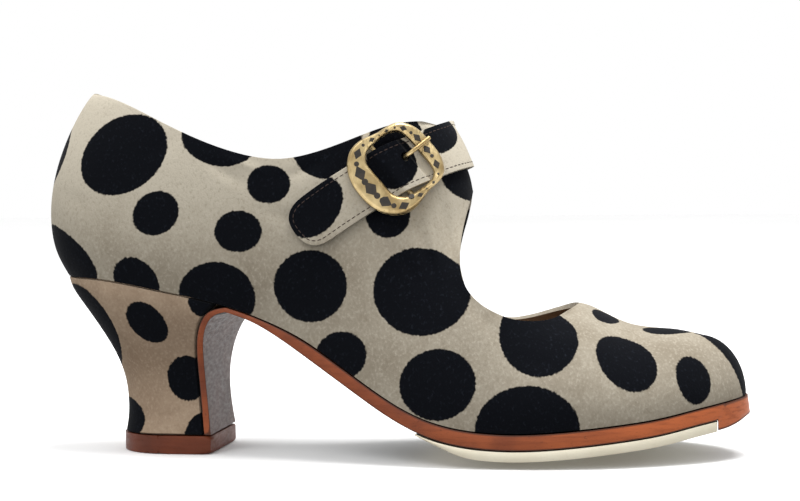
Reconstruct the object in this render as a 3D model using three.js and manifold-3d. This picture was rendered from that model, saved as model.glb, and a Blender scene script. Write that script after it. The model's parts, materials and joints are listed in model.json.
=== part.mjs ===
// Flamenco dance shoe for the right foot, with an instep strap, a metal buckle and a covered spool heel.
// Millimetres. X runs forward to the toe, Y to the inner side of the foot, Z up; the floor is Z = 0.
// The last is laid out from X = 0, 1 mm behind the back seam, and the finished shoe is moved back so that
// the middle of the heel's walking face comes to the origin.

import * as THREE from 'three';
import { mergeVertices } from 'three/addons/utils/BufferGeometryUtils.js';
import Module from 'manifold-3d';

const wasm = await Module();
wasm.setup();

// Driving dimensions of the last
const LENGTH = 238;            // measuring line to the toe tip of the upper
const BALL_WIDTH = 80;         // across the feather line at the ball
const HEEL_RISE = 48.5;        // seat of the heel above the feather line at the ball
const TOE_SPRING = 9.2;        // toe tip of the feather line above the ball
const INSTEP = 65;             // instep ridge above the feather line, at the front of the bar
const BACK_BULGE = 10.0;       // how far the back seam swells behind a straight line
const SEAT_BACK = 7.0;         // rear end of the seat, ahead of the swell of the back seam

// Walls and layers
const WALL = 2.0;              // suede, lining and stiffener together
const INSOLE = 2.6;
const LEATHER = 5.0;           // outsole edge at the ball
const SHANK = 1.6;             // outsole edge just ahead of the heel
const TOE_LEATHER = 4.9;       // outsole edge behind its nose
const RUBBER = 3.3;            // half sole
const FLAP = 2.3;              // outsole leather that runs down the breast of the heel
const TOP_PIECE = 6.0;         // walking surface of the heel
const EDGE_LIFT = 2.2;         // sole edge above the floor, where the tread is crowned across
const CROWN = 3.0;             // drop of the sole layers from the edge to the middle
const SOLE_MARGIN = 1.2;       // outsole beyond the upper, at its lower edge
const WELT = 0.4;              // the same, at its upper edge
const NOSE_DROOP = 0.8;        // how much deeper the outsole is at its very tip
const CROWN_STARTS = [0.42, 0.62];  // shares of LENGTH between which the crown sets in
const SHANK_THICKENS = [0.31, 0.42];
const TOE_THINS = [0.72, 0.88];
const GAP = 0.3;               // between pieces that touch
const INSOLE_LIFT = 0.2;       // more gap under the insole, where the facets of both layers bend
const BREAST_GAP = 0.55;       // between the heel block and the leather down its breast, for the same reason

// Heel and half sole
const HEEL_BASE_BACK = 26.0;
const HEEL_BASE_FRONT = 60.5;
const HEEL_BASE_WIDTH = 35;
const SEAT_FRONT = 64.6;       // where the outsole turns down the breast, on the outer side
const BREAST_SLANT = 5.0;      // how much further forward that is on the inner side
const SLANT_LENGTH = 26;       // length of shank over which the slant dies out
const BEND_AHEAD = 3.5;        // from the seat's front to the first straight bit of shank, past the bend
const TREAD_BACK = 133;
const TREAD_FRONT = 228.4;
const TREAD_EDGE = 0.15;       // share of the rubber's thickness left at its rear end
const TREAD_SKIVE = 20;        // length over which the rear end of the rubber thins out

// Strap. Its middle line leans back and down from the ridge on both sides.
const STRAP = 2.2;             // thickness
const STRAP_WIDTH = 17;
const STRAP_CROSSES = 10.62;    // place among the sections where its middle line crosses the ridge
const STRAP_LEAN = 18.5;         // degrees below the horizontal, going back, where it crosses the ridge
const STRAP_CURVE = 0.3;       // degrees more for each millimetre from the ridge
const STRAP_OUTER = 69;        // from the ridge to the free end, on the outer side
const STRAP_INNER = 48;        // from the ridge to the stitched root, on the inner side
const TAIL_ROUND = 9;          // length over which the free end rounds off
const TAIL_BLUNT = 2.6;        // 2 for a round end, more for a squarer one

// Buckle. From its middle, u runs along the strap towards the ridge and v across it, forward and down.
const BUCKLE_AT = 31.6;          // from the ridge to the buckle's middle, along the strap
const BUCKLE_TURN = 12;         // degrees by which it is turned on the strap
const BUCKLE_TOP = 5.7;        // top face above the upper
const BUCKLE_SIDE = 0.8;       // underside of its side bars above the upper
const BUCKLE_BEVEL = 1.0;
const BUCKLE_SLOPE = 3;        // over which the underside comes down beside the strap
const BUCKLE_CLEAR = 0.85;     // under the frame where it crosses the strap
const BAR_DIAMETER = 1.6;      // centre bar, under the strap
const BAR_REACH = 12.8;        // how far the bar runs into the side bars
const PRONG_DIAMETER = 1.6;
const PRONG_OFFSET = -1.2;     // v of the prong
const PRONG_TIP = 14.8;        // u of its tip
const HOLE = { u: 5.6, v: PRONG_OFFSET };
const HOLE_DIAMETER = 3.2;
const PRONG_RISE = table(['past', 'up'], [[-1.2, 0], [-0.4, 0.13], [0, 0.4], [0.6, 0.82], [1.8, 0.98], [4, 1]]);
const HUMP_BACK = [-4.4, -1.3];   // u over which the strap rises onto the bar
const HUMP_FRONT = [6.3, 7.8];    // and comes down again in front of the prong's hole
const SLANT_FADES = [15, 28];  // from the buckle's middle, where the strap's rows leave the buckle's slant

// How finely the curved surfaces are divided
const COLUMNS_PER_ROW = 2;
const WALL_ROWS = 12;
const FOOT_CROWDING = 1.2;     // above 1 the rows lie closer together near the feather line
const SOLE_STEPS = 32;
const INSOLE_STEPS = 30;
const TREAD_STEPS = 24;
const HEEL_RING = 14;
const SOLE_ROWS = 6;
const NOSE_STEPS = 7;
const FRONT_PASSES = 12;        // rounds until a slanted ring end has met the breast
const STRAP_STEP = 5;
const HUMP_STEP = 1.3;
const STRAP_COLUMNS = 4;
const TAIL_STEPS = 5;
const BUCKLE_STEPS = 48;
const BAR_STEPS = 10;
const PRONG_STEPS = 16;
const ROD_SIDES = 10;
const WALK_STEP = 1.5;          // longest step when the strap's line is laid over the upper
const NEAREST_PASSES = 8;
const TOLERANCE = 1e-3;         // corners closer than this are one corner

const BALL_LEVEL = EDGE_LIFT + RUBBER + LEATHER + 2 * GAP;

// A table's rows as objects, by the names of their columns
function table(columns, rows) {
  return rows.map((row) => Object.fromEntries(columns.map((column, i) => [column, row[i]])));
}

// Bottom of the last. at: share of LENGTH. outer, inner: half widths as shares of BALL_WIDTH, before the
// round ends. rise: share of HEEL_RISE. spring: share of TOE_SPRING.
const BOTTOM = table(['at', 'outer', 'inner', 'rise', 'spring'], [
  [0.024, 0.303, 0.303, 1.000, 0],
  [0.084, 0.303, 0.300, 1.000, 0],
  [0.126, 0.305, 0.297, 0.978, 0],
  [0.185, 0.316, 0.303, 0.923, 0],
  [0.244, 0.319, 0.288, 0.865, 0],
  [0.294, 0.319, 0.263, 0.800, 0],
  [0.336, 0.325, 0.244, 0.728, 0],
  [0.395, 0.350, 0.238, 0.598, 0],
  [0.443, 0.379, 0.250, 0.448, 0],
  [0.504, 0.420, 0.294, 0.250, 0],
  [0.546, 0.446, 0.338, 0.132, 0],
  [0.592, 0.470, 0.394, 0.050, 0],
  [0.643, 0.486, 0.450, 0.010, 0],
  [0.689, 0.488, 0.488, 0.000, 0.00],
  [0.727, 0.480, 0.504, 0.000, 0.03],
  [0.773, 0.460, 0.503, 0.000, 0.12],
  [0.828, 0.421, 0.480, 0.000, 0.26],
  [0.882, 0.385, 0.456, 0.000, 0.43],
  [0.933, 0.352, 0.436, 0.000, 0.70],
  [0.971, 0.328, 0.422, 0.000, 0.87],
  [1.000, 0.312, 0.412, 0.000, 1.00],
]);
const HEEL_ROUND = 24;         // length over which the heel end of the last rounds off
const TOE_ROUND = 48;

// Sections of the upper, each a strip from the feather line up to its top edge.
// foot: share of the way from the back of the seat to the toe. top: share of LENGTH.
// up: top edge above the foot, as a share of INSTEP.
// keepOut, keepIn: how much of a full dome the outer and the inner side keep, 1 where they meet.
// top and up are those of the outer side; the inner side runs on the same dome.
// dome: fullness of the dome. swellOut, swellIn: belly beyond the feather line, shares of BALL_WIDTH.
// nose: 1 where the strip bows forward as a toe does, 0 where it is straight from the side.
const SECTIONS = table(['foot', 'top', 'up', 'keepOut', 'keepIn', 'dome', 'swellOut', 'swellIn', 'nose'], [
  [0.0000, 0.0706, 0.965, 0.78, 0.78, 2.4, 0.000, 0.000, 0],
  [0.0052, 0.0730, 0.960, 0.78, 0.775, 2.4, 0.003, 0.003, 0],
  [0.0224, 0.0830, 0.952, 0.77, 0.758, 2.4, 0.008, 0.008, 0],
  [0.0550, 0.1070, 0.940, 0.75, 0.712, 2.4, 0.014, 0.014, 0],
  [0.1042, 0.1530, 0.894, 0.69, 0.622, 2.4, 0.019, 0.020, 0],
  [0.1646, 0.2100, 0.832, 0.62, 0.553, 2.4, 0.021, 0.028, 0],
  [0.2251, 0.2850, 0.762, 0.54, 0.492, 2.4, 0.025, 0.045, 0],
  [0.2764, 0.3660, 0.753, 0.52, 0.50, 2.4, 0.028, 0.065, 0],
  [0.3194, 0.4450, 0.882, 0.62, 0.61, 2.3, 0.028, 0.080, 0],
  [0.3491, 0.5250, 1.040, 0.84, 0.83, 2.3, 0.025, 0.086, 0],
  [0.3748, 0.5803, 1.060, 1.00, 1.00, 2.2, 0.020, 0.087, 0],
  [0.4035, 0.6080, 0.955, 1.00, 1.00, 2.2, 0.016, 0.087, 0],
  [0.4291, 0.6210, 0.850, 1.00, 1.00, 2.2, 0.014, 0.087, 0],
  [0.4547, 0.6140, 0.735, 0.91, 0.755, 2.2, 0.012, 0.082, 0],
  [0.4916, 0.6135, 0.630, 0.75, 0.60, 2.1, 0.010, 0.072, 0],
  [0.5347, 0.6290, 0.580, 0.66, 0.522, 2.1, 0.009, 0.056, 0],
  [0.5818, 0.6635, 0.548, 0.67, 0.553, 2.1, 0.009, 0.038, 0],
  [0.6341, 0.7000, 0.532, 0.75, 0.715, 2.1, 0.009, 0.025, 0],
  [0.6812, 0.7420, 0.543, 0.87, 0.92, 2.1, 0.010, 0.016, 0],
  [0.7202, 0.7706, 0.598, 1.00, 1.00, 2.1, 0.010, 0.013, 0],
  [0.7673, 0.8000, 0.542, 1.00, 1.00, 2.1, 0.011, 0.011, 0],
  [0.8237, 0.8340, 0.461, 1.00, 1.00, 2.1, 0.012, 0.011, 0.1],
  [0.8791, 0.8680, 0.415, 1.00, 1.00, 2.1, 0.012, 0.012, 0.4],
  [0.9313, 0.8990, 0.370, 1.00, 1.00, 2.05, 0.011, 0.012, 0.7],
  [0.9693, 0.9200, 0.330, 1.00, 1.00, 2.0, 0.007, 0.008, 0.9],
  [0.9918, 0.9310, 0.305, 1.00, 1.00, 2.0, 0.003, 0.003, 1],
  [1.0000, 0.9350, 0.300, 1.00, 1.00, 2.0, 0.000, 0.000, 1],
]);
const BELLY_AT = 0.3;          // height share at which a section is widest
const BULGE_FADES = [0.02, 0.36];   // shares of LENGTH between which the swell of the back seam dies out
const BULGE_LOW = 0.88;        // below 1 the fullest part of that swell lies lower
const BULGE_FULL = 0.75;       // below 1 the swell is fuller above and below it
const LAST = SECTIONS.length - 1;

// Outer face of the outsole where it runs down the heel. up: share of the height from the top piece to the
// seat front. set: distance behind SEAT_FRONT. slant: share of BREAST_SLANT that the inner edge is ahead.
const BREAST = table(['up', 'set', 'slant'], [
  [0.000, 4.2, -0.06],
  [0.170, 5.2, -0.08],
  [0.400, 6.0, -0.08],
  [0.600, 6.0, 0.14],
  [0.750, 5.2, 0.40],
  [0.860, 3.2, 0.62],
  [0.922, 0.6, 0.80],
]);

// Heel block. up: share of its height. back: share of the way from the seat's rear end to the base's.
// wide: half width between that of the base (0) and of the seat (1); below 0 is the waist of the spool.
const SPOOL = table(['up', 'back', 'wide'], [
  [0.00, 1.020, 0.00],
  [0.09, 1.065, -0.12],
  [0.19, 1.070, -0.22],
  [0.30, 1.045, -0.26],
  [0.40, 0.980, -0.18],
  [0.52, 0.850, 0.02],
  [0.65, 0.640, 0.32],
  [0.77, 0.440, 0.62],
  [0.88, 0.235, 0.87],
  [0.95, 0.100, 0.97],
  [1.00, 0.000, 1.00],
]);
const SPOOL_ROUND_TOP = 0.41;  // share of the plan that the round back takes, at the seat
const SPOOL_ROUND_BASE = 0.52;
const SEAT_POWER = 6;          // how late, going up, the plan of the spool turns into that of the seat

// Half outlines of the buckle frame and of its window, from the front end round the side to the back
const BUCKLE_OUTLINE = table(['u', 'v'], [
  [15.3, 0], [14.9, 4.4], [13.6, 8.2], [11.2, 11.1], [8.0, 12.2], [4.6, 12.5], [1.4, 13.3], [-2.4, 14.3],
  [-6.2, 13.8], [-9.6, 11.5], [-12.0, 8.0], [-13.3, 3.8], [-13.5, 0],
]);
const WINDOW_OUTLINE = table(['u', 'v'], [
  [10.2, 0], [10.1, 5.2], [9.2, 8.8], [6.6, 10.3], [1.0, 10.4], [-2.8, 9.8],
  [-5.0, 7.4], [-5.5, 3.8], [-5.5, 0],
]);

const clamp = THREE.MathUtils.clamp;
const lerp = THREE.MathUtils.lerp;
const smoothstep = THREE.MathUtils.smoothstep;

// Smooth curve through one column of a table, at place t counted in rows. At an end that a round form closes,
// the rows beyond it mirror those before it.
function smooth(rows, column, t) {
  const last = rows.length - 1;
  const i = clamp(Math.floor(t), 0, last - 1);
  const value = (k) => rows[k < 0 ? -k : k > last ? 2 * last - k : k][column];
  const [a, b, c, d] = [value(i - 1), value(i), value(i + 1), value(i + 2)];
  const u = t - i;
  const linear = (c - a) * u;
  const square = (2 * a - 5 * b + 4 * c - d) * u * u;
  const cube = (3 * b - a - 3 * c + d) * u * u * u;
  return 0.5 * (2 * b + linear + square + cube);
}

// Value of a table's column where its key column has the value x, by monotone cubic interpolation.
function lookUp(rows, key, column, x) {
  const last = rows.length - 1;
  const at = clamp(x, rows[0][key], rows[last][key]);
  let i = 0;
  while (i < last - 1 && rows[i + 1][key] < at) i += 1;
  const slope = (k) => (rows[k + 1][column] - rows[k][column]) / (rows[k + 1][key] - rows[k][key]);
  const tangent = (k) => {
    if (k === 0) return slope(0);
    if (k === last) return slope(last - 1);
    const [before, after] = [slope(k - 1), slope(k)];
    return before * after <= 0 ? 0 : (2 * before * after) / (before + after);
  };
  const span = rows[i + 1][key] - rows[i][key];
  const u = (at - rows[i][key]) / span;
  const [y0, y1] = [rows[i][column], rows[i + 1][column]];
  const [m0, m1] = [tangent(i) * span, tangent(i + 1) * span];
  const u2 = u * u;
  const u3 = u2 * u;
  return y0 * (2 * u3 - 3 * u2 + 1) + m0 * (u3 - 2 * u2 + u) + y1 * (3 * u2 - 2 * u3) + m1 * (u3 - u2);
}

// Rises from 0 to 1 along a quarter circle while s goes from 0 to 1, and stays 1.
function quarterRound(s) {
  const left = 1 - clamp(s, 0, 1);
  return Math.sqrt(1 - left * left);
}

// Half width inside the feather line of the last, less an inset
function featherHalf(x, side, inset = 0) {
  const core = BALL_WIDTH * lookUp(BOTTOM, 'at', side < 0 ? 'outer' : 'inner', x / LENGTH) - inset;
  return core * quarterRound((x - SEAT_BACK) / HEEL_ROUND) * quarterRound((LENGTH - x) / TOE_ROUND);
}

function featherHeight(x) {
  const rise = HEEL_RISE * lookUp(BOTTOM, 'at', 'rise', x / LENGTH);
  const spring = TOE_SPRING * lookUp(BOTTOM, 'at', 'spring', x / LENGTH);
  return BALL_LEVEL + rise + spring;
}

// Drop of the sole layers below their edge, at a share from -1 to 1 across the width.
function crownDrop(x, share) {
  const ahead = smoothstep(x / LENGTH, ...CROWN_STARTS);
  const narrow = Math.min(1, (featherHalf(x, -1) + featherHalf(x, 1)) / BALL_WIDTH);
  return CROWN * ahead * narrow * (1 - share * share);
}

// How much of its dome a side of the upper keeps; 1 from one closed section to the next
function keepAt(section, side) {
  const column = side < 0 ? 'keepOut' : 'keepIn';
  const i = clamp(Math.floor(section), 0, LAST - 1);
  const bothClosed = SECTIONS[i][column] === 1 && SECTIONS[i + 1][column] === 1;
  return bothClosed ? 1 : Math.min(1, smooth(SECTIONS, column, section));
}

function isClosed(section) {
  return keepAt(section, -1) === 1 && keepAt(section, 1) === 1;
}

// Upper: the outer surface at a section place, and climb from the feather line (0) to the top edge (1).
function upperPoint(section, climb, side) {
  const s = (column) => smooth(SECTIONS, column, section);
  const foot = lerp(SEAT_BACK, LENGTH, s('foot'));
  const top = LENGTH * s('top');
  const [dome, nose] = [s('dome'), s('nose')];
  const whole = keepAt(section, -1);
  const keep = keepAt(section, side);
  const height = Math.pow(Math.sin((climb * Math.PI) / 2), 2 / dome);
  const round = climb === 1 && keep === 1 ? 0 : Math.sqrt(1 - Math.pow(keep * height, dome));
  const belly = Math.sin((Math.PI / 2) * Math.min(1, height / BELLY_AT));
  const swell = BALL_WIDTH * s(side < 0 ? 'swellOut' : 'swellIn') * belly;
  const half = featherHalf(foot, side) + Math.max(0, swell);
  const reach = keep / whole;
  const forward = lerp(1 - reach * height, round, nose);
  const fade = 1 - smoothstep(foot / LENGTH, ...BULGE_FADES);
  const bulge = BACK_BULGE * fade * Math.pow(Math.sin(Math.PI * Math.pow(height, BULGE_LOW)), BULGE_FULL);
  const x = top + (foot - top) * forward - bulge;
  const z = featherHeight(foot) + INSTEP * s('up') * reach * height;
  return new THREE.Vector3(x, side * half * round, z);
}

// Normal of the upper's outer surface. Both sides share it along the back, the toe and a closed ridge.
function upperNormal(section, climb, side) {
  const shared = section === 0 || section === LAST || (climb === 1 && isClosed(section));
  const of = shared ? -1 : side;
  const step = 1e-3;
  const low = clamp(climb - step, 4 * step, 1 - 2 * step);
  const along = upperPoint(Math.min(LAST, section + step), climb, of);
  along.sub(upperPoint(Math.max(0, section - step), climb, of));
  const up = upperPoint(section, low + 2 * step, of).sub(upperPoint(section, low, of));
  const normal = of < 0 ? along.cross(up) : up.cross(along);
  if (shared) normal.y = 0;
  if (climb === 0) normal.z = 0;
  return normal.normalize();
}

// Mesh building. Faces are gathered as loose triangles and joined where their corners meet.
class Faces {
  constructor() {
    this.corners = [];
  }

  triangle(a, b, c) {
    this.corners.push(a, b, c);
  }

  quad(a, b, c, d) {
    this.triangle(a, b, c);
    this.triangle(a, c, d);
  }

  // A grid of points, rows[i][j], facing the side on which i to j turns anticlockwise.
  grid(rows, flip = false) {
    for (let i = 0; i < rows.length - 1; i += 1) {
      for (let j = 0; j < rows[i].length - 1; j += 1) {
        const [a, b, c, d] = [rows[i][j], rows[i + 1][j], rows[i + 1][j + 1], rows[i][j + 1]];
        if (flip) this.quad(a, d, c, b);
        else this.quad(a, b, c, d);
      }
    }
  }

  geometry() {
    const loose = new THREE.BufferGeometry().setFromPoints(this.corners);
    const merged = mergeVertices(loose, TOLERANCE);
    const index = merged.index.array;
    const kept = [];
    for (let i = 0; i < index.length; i += 3) {
      const [a, b, c] = [index[i], index[i + 1], index[i + 2]];
      if (a !== b && b !== c && c !== a) kept.push(a, b, c);
    }
    merged.setIndex(kept);
    merged.computeVertexNormals();
    return merged;
  }
}

function solidOf(geometry) {
  const bare = new THREE.BufferGeometry();
  bare.setAttribute('position', geometry.getAttribute('position'));
  bare.setIndex(geometry.getIndex());
  const merged = mergeVertices(bare, TOLERANCE);
  const vertProperties = merged.attributes.position.array;
  const triVerts = new Uint32Array(merged.index.array);
  return new wasm.Manifold(new wasm.Mesh({ numProp: 3, vertProperties, triVerts }));
}

function geometryOf(solid) {
  const mesh = solid.getMesh();
  const geometry = new THREE.BufferGeometry();
  geometry.setAttribute('position', new THREE.BufferAttribute(mesh.vertProperties, 3));
  geometry.setIndex(new THREE.BufferAttribute(mesh.triVerts, 1));
  geometry.computeVertexNormals();
  return geometry;
}

// Upper
function upperGeometry() {
  const count = LAST * COLUMNS_PER_ROW;
  const places = Array.from({ length: count + 1 }, (_, i) => i / COLUMNS_PER_ROW);
  const climbs = Array.from({ length: WALL_ROWS + 1 }, (_, j) => Math.pow(j / WALL_ROWS, FOOT_CROWDING));
  const skin = (side, depth) => places.map((section) => climbs.map((climb) => {
    const point = upperPoint(section, climb, side);
    return depth === 0 ? point : point.addScaledVector(upperNormal(section, climb, side), -depth);
  }));
  const faces = new Faces();
  for (const side of [-1, 1]) {
    const [outside, inside] = [skin(side, 0), skin(side, WALL)];
    faces.grid(outside, side > 0);
    faces.grid(inside, side < 0);
    const footEdge = places.map((_, i) => [inside[i][0], outside[i][0]]);
    faces.grid(footEdge, side > 0);
    for (let i = 0; i < count; i += 1) {
      if (isClosed(places[i]) && isClosed(places[i + 1])) continue;
      const rim = [
        [outside[i][WALL_ROWS], inside[i][WALL_ROWS]],
        [outside[i + 1][WALL_ROWS], inside[i + 1][WALL_ROWS]],
      ];
      faces.grid(rim, side > 0);
    }
  }
  return faces.geometry();
}

// Sole layers: a slab between two heights over the outline, from one end to the other.
function soleStations(from, to, steps = SOLE_STEPS) {
  const share = (i) => 0.5 - 0.5 * Math.cos((Math.PI * i) / steps);
  return Array.from({ length: steps + 1 }, (_, i) => lerp(from, to, share(i)));
}

function slabFaces(stations, halfAt, topAt, bottomAt) {
  const faces = new Faces();
  const shares = Array.from({ length: SOLE_ROWS + 1 }, (_, j) => (2 * j) / SOLE_ROWS - 1);
  const sheet = (heightAt) => stations.map((x) => shares.map((share) => {
    const y = share * halfAt(x, Math.sign(share) || 1);
    return new THREE.Vector3(x, y, heightAt(x, share));
  }));
  const [top, bottom] = [sheet(topAt), sheet(bottomAt)];
  faces.grid(top);
  faces.grid(bottom, true);
  faces.grid([...top.keys()].map((i) => [bottom[i][0], top[i][0]]));
  faces.grid([...top.keys()].map((i) => [bottom[i][SOLE_ROWS], top[i][SOLE_ROWS]]), true);
  const last = stations.length - 1;
  faces.grid([bottom[0], top[0]], false);
  faces.grid([bottom[last], top[last]], true);
  return faces;
}

function insoleGeometry() {
  const inset = WALL + GAP;
  const [from, to] = [SEAT_BACK + inset, LENGTH - inset];
  const reach = (x) => lerp(SEAT_BACK, LENGTH, (x - from) / (to - from));
  const half = (x, side) => featherHalf(reach(x), side, inset + GAP);
  const seat = (x, share) => featherHeight(x) + INSOLE_LIFT - crownDrop(reach(x), share);
  const stations = soleStations(from, to, INSOLE_STEPS);
  return slabFaces(stations, half, (x, share) => seat(x, share) + INSOLE, seat).geometry();
}

// Outsole edge thickness at x
function leatherAt(x) {
  const fromShank = smoothstep(x / LENGTH, ...SHANK_THICKENS);
  const toToe = smoothstep(x / LENGTH, ...TOE_THINS);
  return lerp(lerp(SHANK, LEATHER, fromShank), TOE_LEATHER, toToe);
}

// Half width of a layer that stands out from the feather line by a margin
function soleHalf(x, side, margin = SOLE_MARGIN) {
  const reach = lerp(SEAT_BACK, LENGTH, (x - SEAT_BACK + margin) / (LENGTH - SEAT_BACK + 2 * margin));
  return featherHalf(reach, side) * (1 + (2 * margin) / BALL_WIDTH);
}

// Outer and inner faces of the leather down the breast, on the outer side of the shoe, from the top piece up.
// slants: how much further forward each row is on the inner side.
function breastPath() {
  const base = TOP_PIECE + GAP;
  const height = featherHeight(SEAT_FRONT) - GAP - base;
  const outer = BREAST.map((row) => new THREE.Vector2(SEAT_FRONT - row.set, base + row.up * height));
  const inner = outer.map((point, i) => {
    if (i === 0) return new THREE.Vector2(point.x - FLAP, base);
    const along = outer[Math.min(i + 1, outer.length - 1)].clone().sub(outer[i - 1]).normalize();
    return new THREE.Vector2(point.x - along.y * FLAP, point.y + along.x * FLAP);
  });
  const slants = BREAST.map((row) => BREAST_SLANT * row.slant);
  return { outer, inner, slants, base, height };
}

// Share of the way from the outer to the inner side, for a place from -1 to 1 across
function inward(share) {
  return (share + 1) / 2;
}

// Half width of the heel and of the leather on its breast, at a height
function spoolHalf(up, side) {
  const base = HEEL_BASE_WIDTH / 2;
  const seat = BALL_WIDTH * lookUp(BOTTOM, 'at', side < 0 ? 'outer' : 'inner', SEAT_FRONT / LENGTH);
  return lerp(base, seat, lookUp(SPOOL, 'up', 'wide', up));
}

function outsoleGeometry() {
  const shares = Array.from({ length: SOLE_ROWS + 1 }, (_, j) => (2 * j) / SOLE_ROWS - 1);
  const sideOf = (share) => Math.sign(share) || 1;
  const { outer, inner, slants, base, height } = breastPath();
  const across = (half, share, x, z) => new THREE.Vector3(x, share * half, z);
  const stations = outer.map((point, i) => {
    const up = clamp((inner[i].y - base) / height, 0, 1);
    const ahead = (share) => slants[i] * inward(share);
    return {
      top: (share) => across(spoolHalf(up, sideOf(share)), share, inner[i].x + ahead(share), inner[i].y),
      bottom: (share) => across(spoolHalf(up, sideOf(share)), share, point.x + ahead(share), point.y),
    };
  });
  const nose = TREAD_FRONT + GAP;
  const tip = LENGTH + SOLE_MARGIN;
  const first = SEAT_FRONT + BEND_AHEAD;
  const level = (x, share) => featherHeight(x) - GAP - crownDrop(x, share);
  const station = (x, deep) => {
    const skew = BREAST_SLANT * (1 - smoothstep(x, first, first + SLANT_LENGTH));
    const at = (share) => x + skew * inward(share);
    const pull = Math.min(x, LENGTH + WELT - ((tip - x) * WELT) / SOLE_MARGIN);
    return {
      top: (share) => {
        const place = Math.min(at(share), pull + skew * inward(share));
        return across(soleHalf(place, sideOf(share), WELT), share, place, level(place, share));
      },
      bottom: (share) => {
        const place = at(share);
        const half = soleHalf(place, sideOf(share));
        return across(half, share, place, level(place, share) - deep(place));
      },
    };
  };
  const shank = soleStations(first, nose).filter((x) => x < nose - 1);
  shank.forEach((x) => stations.push(station(x, leatherAt)));
  stations.push(station(nose, leatherAt));
  for (let i = 0; i <= NOSE_STEPS; i += 1) {
    const s = Math.sin(((Math.PI / 2) * i) / NOSE_STEPS);
    const deep = TOE_LEATHER + RUBBER * (1 - s * s) + NOSE_DROOP * s;
    stations.push(station(lerp(nose, tip, s), () => deep));
  }
  const faces = new Faces();
  const sheet = (face) => stations.map((each) => shares.map((share) => each[face](share)));
  const [top, bottom] = [sheet('top'), sheet('bottom')];
  const last = stations.length - 1;
  faces.grid(top);
  faces.grid(bottom, true);
  faces.grid(stations.map((_, i) => [bottom[i][0], top[i][0]]));
  faces.grid(stations.map((_, i) => [bottom[i][SOLE_ROWS], top[i][SOLE_ROWS]]), true);
  faces.grid([bottom[0], top[0]], false);
  faces.grid([bottom[last], top[last]], true);
  return faces.geometry();
}

function halfSoleGeometry() {
  const under = (x, share) => featherHeight(x) - 2 * GAP - crownDrop(x, share) - leatherAt(x);
  const rubberAt = (x) => RUBBER * lerp(TREAD_EDGE, 1, smoothstep(x, TREAD_BACK, TREAD_BACK + TREAD_SKIVE));
  const tread = (x, share) => Math.max(0, under(x, share) - rubberAt(x));
  return slabFaces(soleStations(TREAD_BACK, TREAD_FRONT, TREAD_STEPS), soleHalf, under, tread).geometry();
}

// Heel block: rings from the base up to the seat, each a round back with a straight front
function heelGeometry() {
  const { inner, slants, base } = breastPath();
  const path = inner.map((point, i) => ({ x: point.x, z: point.y, slant: slants[i] }));
  path.push({ x: SEAT_FRONT, z: featherHeight(SEAT_FRONT) - GAP, slant: BREAST_SLANT });
  const front = (z, sign) => {
    let i = 0;
    while (i < path.length - 2 && path[i + 1].z < z) i += 1;
    const share = clamp((z - path[i].z) / (path[i + 1].z - path[i].z), 0, 1);
    const slant = sign < 0 ? 0 : lerp(path[i].slant, path[i + 1].slant, share);
    return lerp(path[i].x, path[i + 1].x, share) + slant - BREAST_GAP;
  };
  const ringSide = (row, sign) => {
    const heightAt = (x) => base + row.up * (featherHeight(x) - GAP - base);
    let ahead = SEAT_FRONT;
    for (let i = 0; i < FRONT_PASSES; i += 1) ahead = front(heightAt(ahead), sign);
    const back = lerp(SEAT_BACK, HEEL_BASE_BACK, row.back);
    const round = (ahead - back) * lerp(SPOOL_ROUND_BASE, SPOOL_ROUND_TOP, row.up);
    return Array.from({ length: HEEL_RING + 1 }, (_, i) => {
      const s = 1 - Math.cos(((Math.PI / 2) * i) / HEEL_RING);
      const x = lerp(back, ahead, s);
      const spool = spoolHalf(row.up, sign) * quarterRound((x - back) / round);
      const seat = i === 0 ? 0 : featherHalf(x, sign);
      return new THREE.Vector3(x, sign * lerp(spool, seat, row.up ** SEAT_POWER), heightAt(x));
    });
  };
  const rings = SPOOL.map((row) => ({ outer: ringSide(row, -1), inner: ringSide(row, 1) }));
  const faces = new Faces();
  faces.grid(rings.map((r) => r.outer), true);
  faces.grid(rings.map((r) => r.inner), false);
  const last = rings.length - 1;
  const across = (r) => r.outer.map((point, i) => [point, r.inner[i]]);
  faces.grid(across(rings[0]), true);
  faces.grid(across(rings[last]), false);
  faces.grid(rings.map((r) => [r.outer[HEEL_RING], r.inner[HEEL_RING]]), true);
  return faces.geometry();
}

function topPieceGeometry() {
  const plan = new THREE.Shape();
  const half = HEEL_BASE_WIDTH / 2 + GAP;
  const round = (HEEL_BASE_FRONT - HEEL_BASE_BACK) * SPOOL_ROUND_BASE;
  const middle = HEEL_BASE_BACK + round;
  plan.moveTo(HEEL_BASE_FRONT, -half);
  plan.lineTo(HEEL_BASE_FRONT, half);
  plan.lineTo(middle, half);
  plan.absellipse(middle, 0, round, half, Math.PI / 2, (3 * Math.PI) / 2, false, 0);
  plan.lineTo(HEEL_BASE_FRONT, -half);
  const solid = { depth: TOP_PIECE, bevelEnabled: false, curveSegments: 2 * HEEL_RING };
  return new THREE.ExtrudeGeometry(plan, solid);
}

// A place on the upper: section, and turn from the ridge or top edge (0) down to the feather line (1),
// above 0 on the outer side.
function placePoint(place) {
  return upperPoint(place.section, 1 - Math.abs(place.turn), place.turn < 0 ? 1 : -1);
}

function placeNormal(place) {
  return upperNormal(place.section, 1 - Math.abs(place.turn), place.turn < 0 ? 1 : -1);
}

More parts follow.
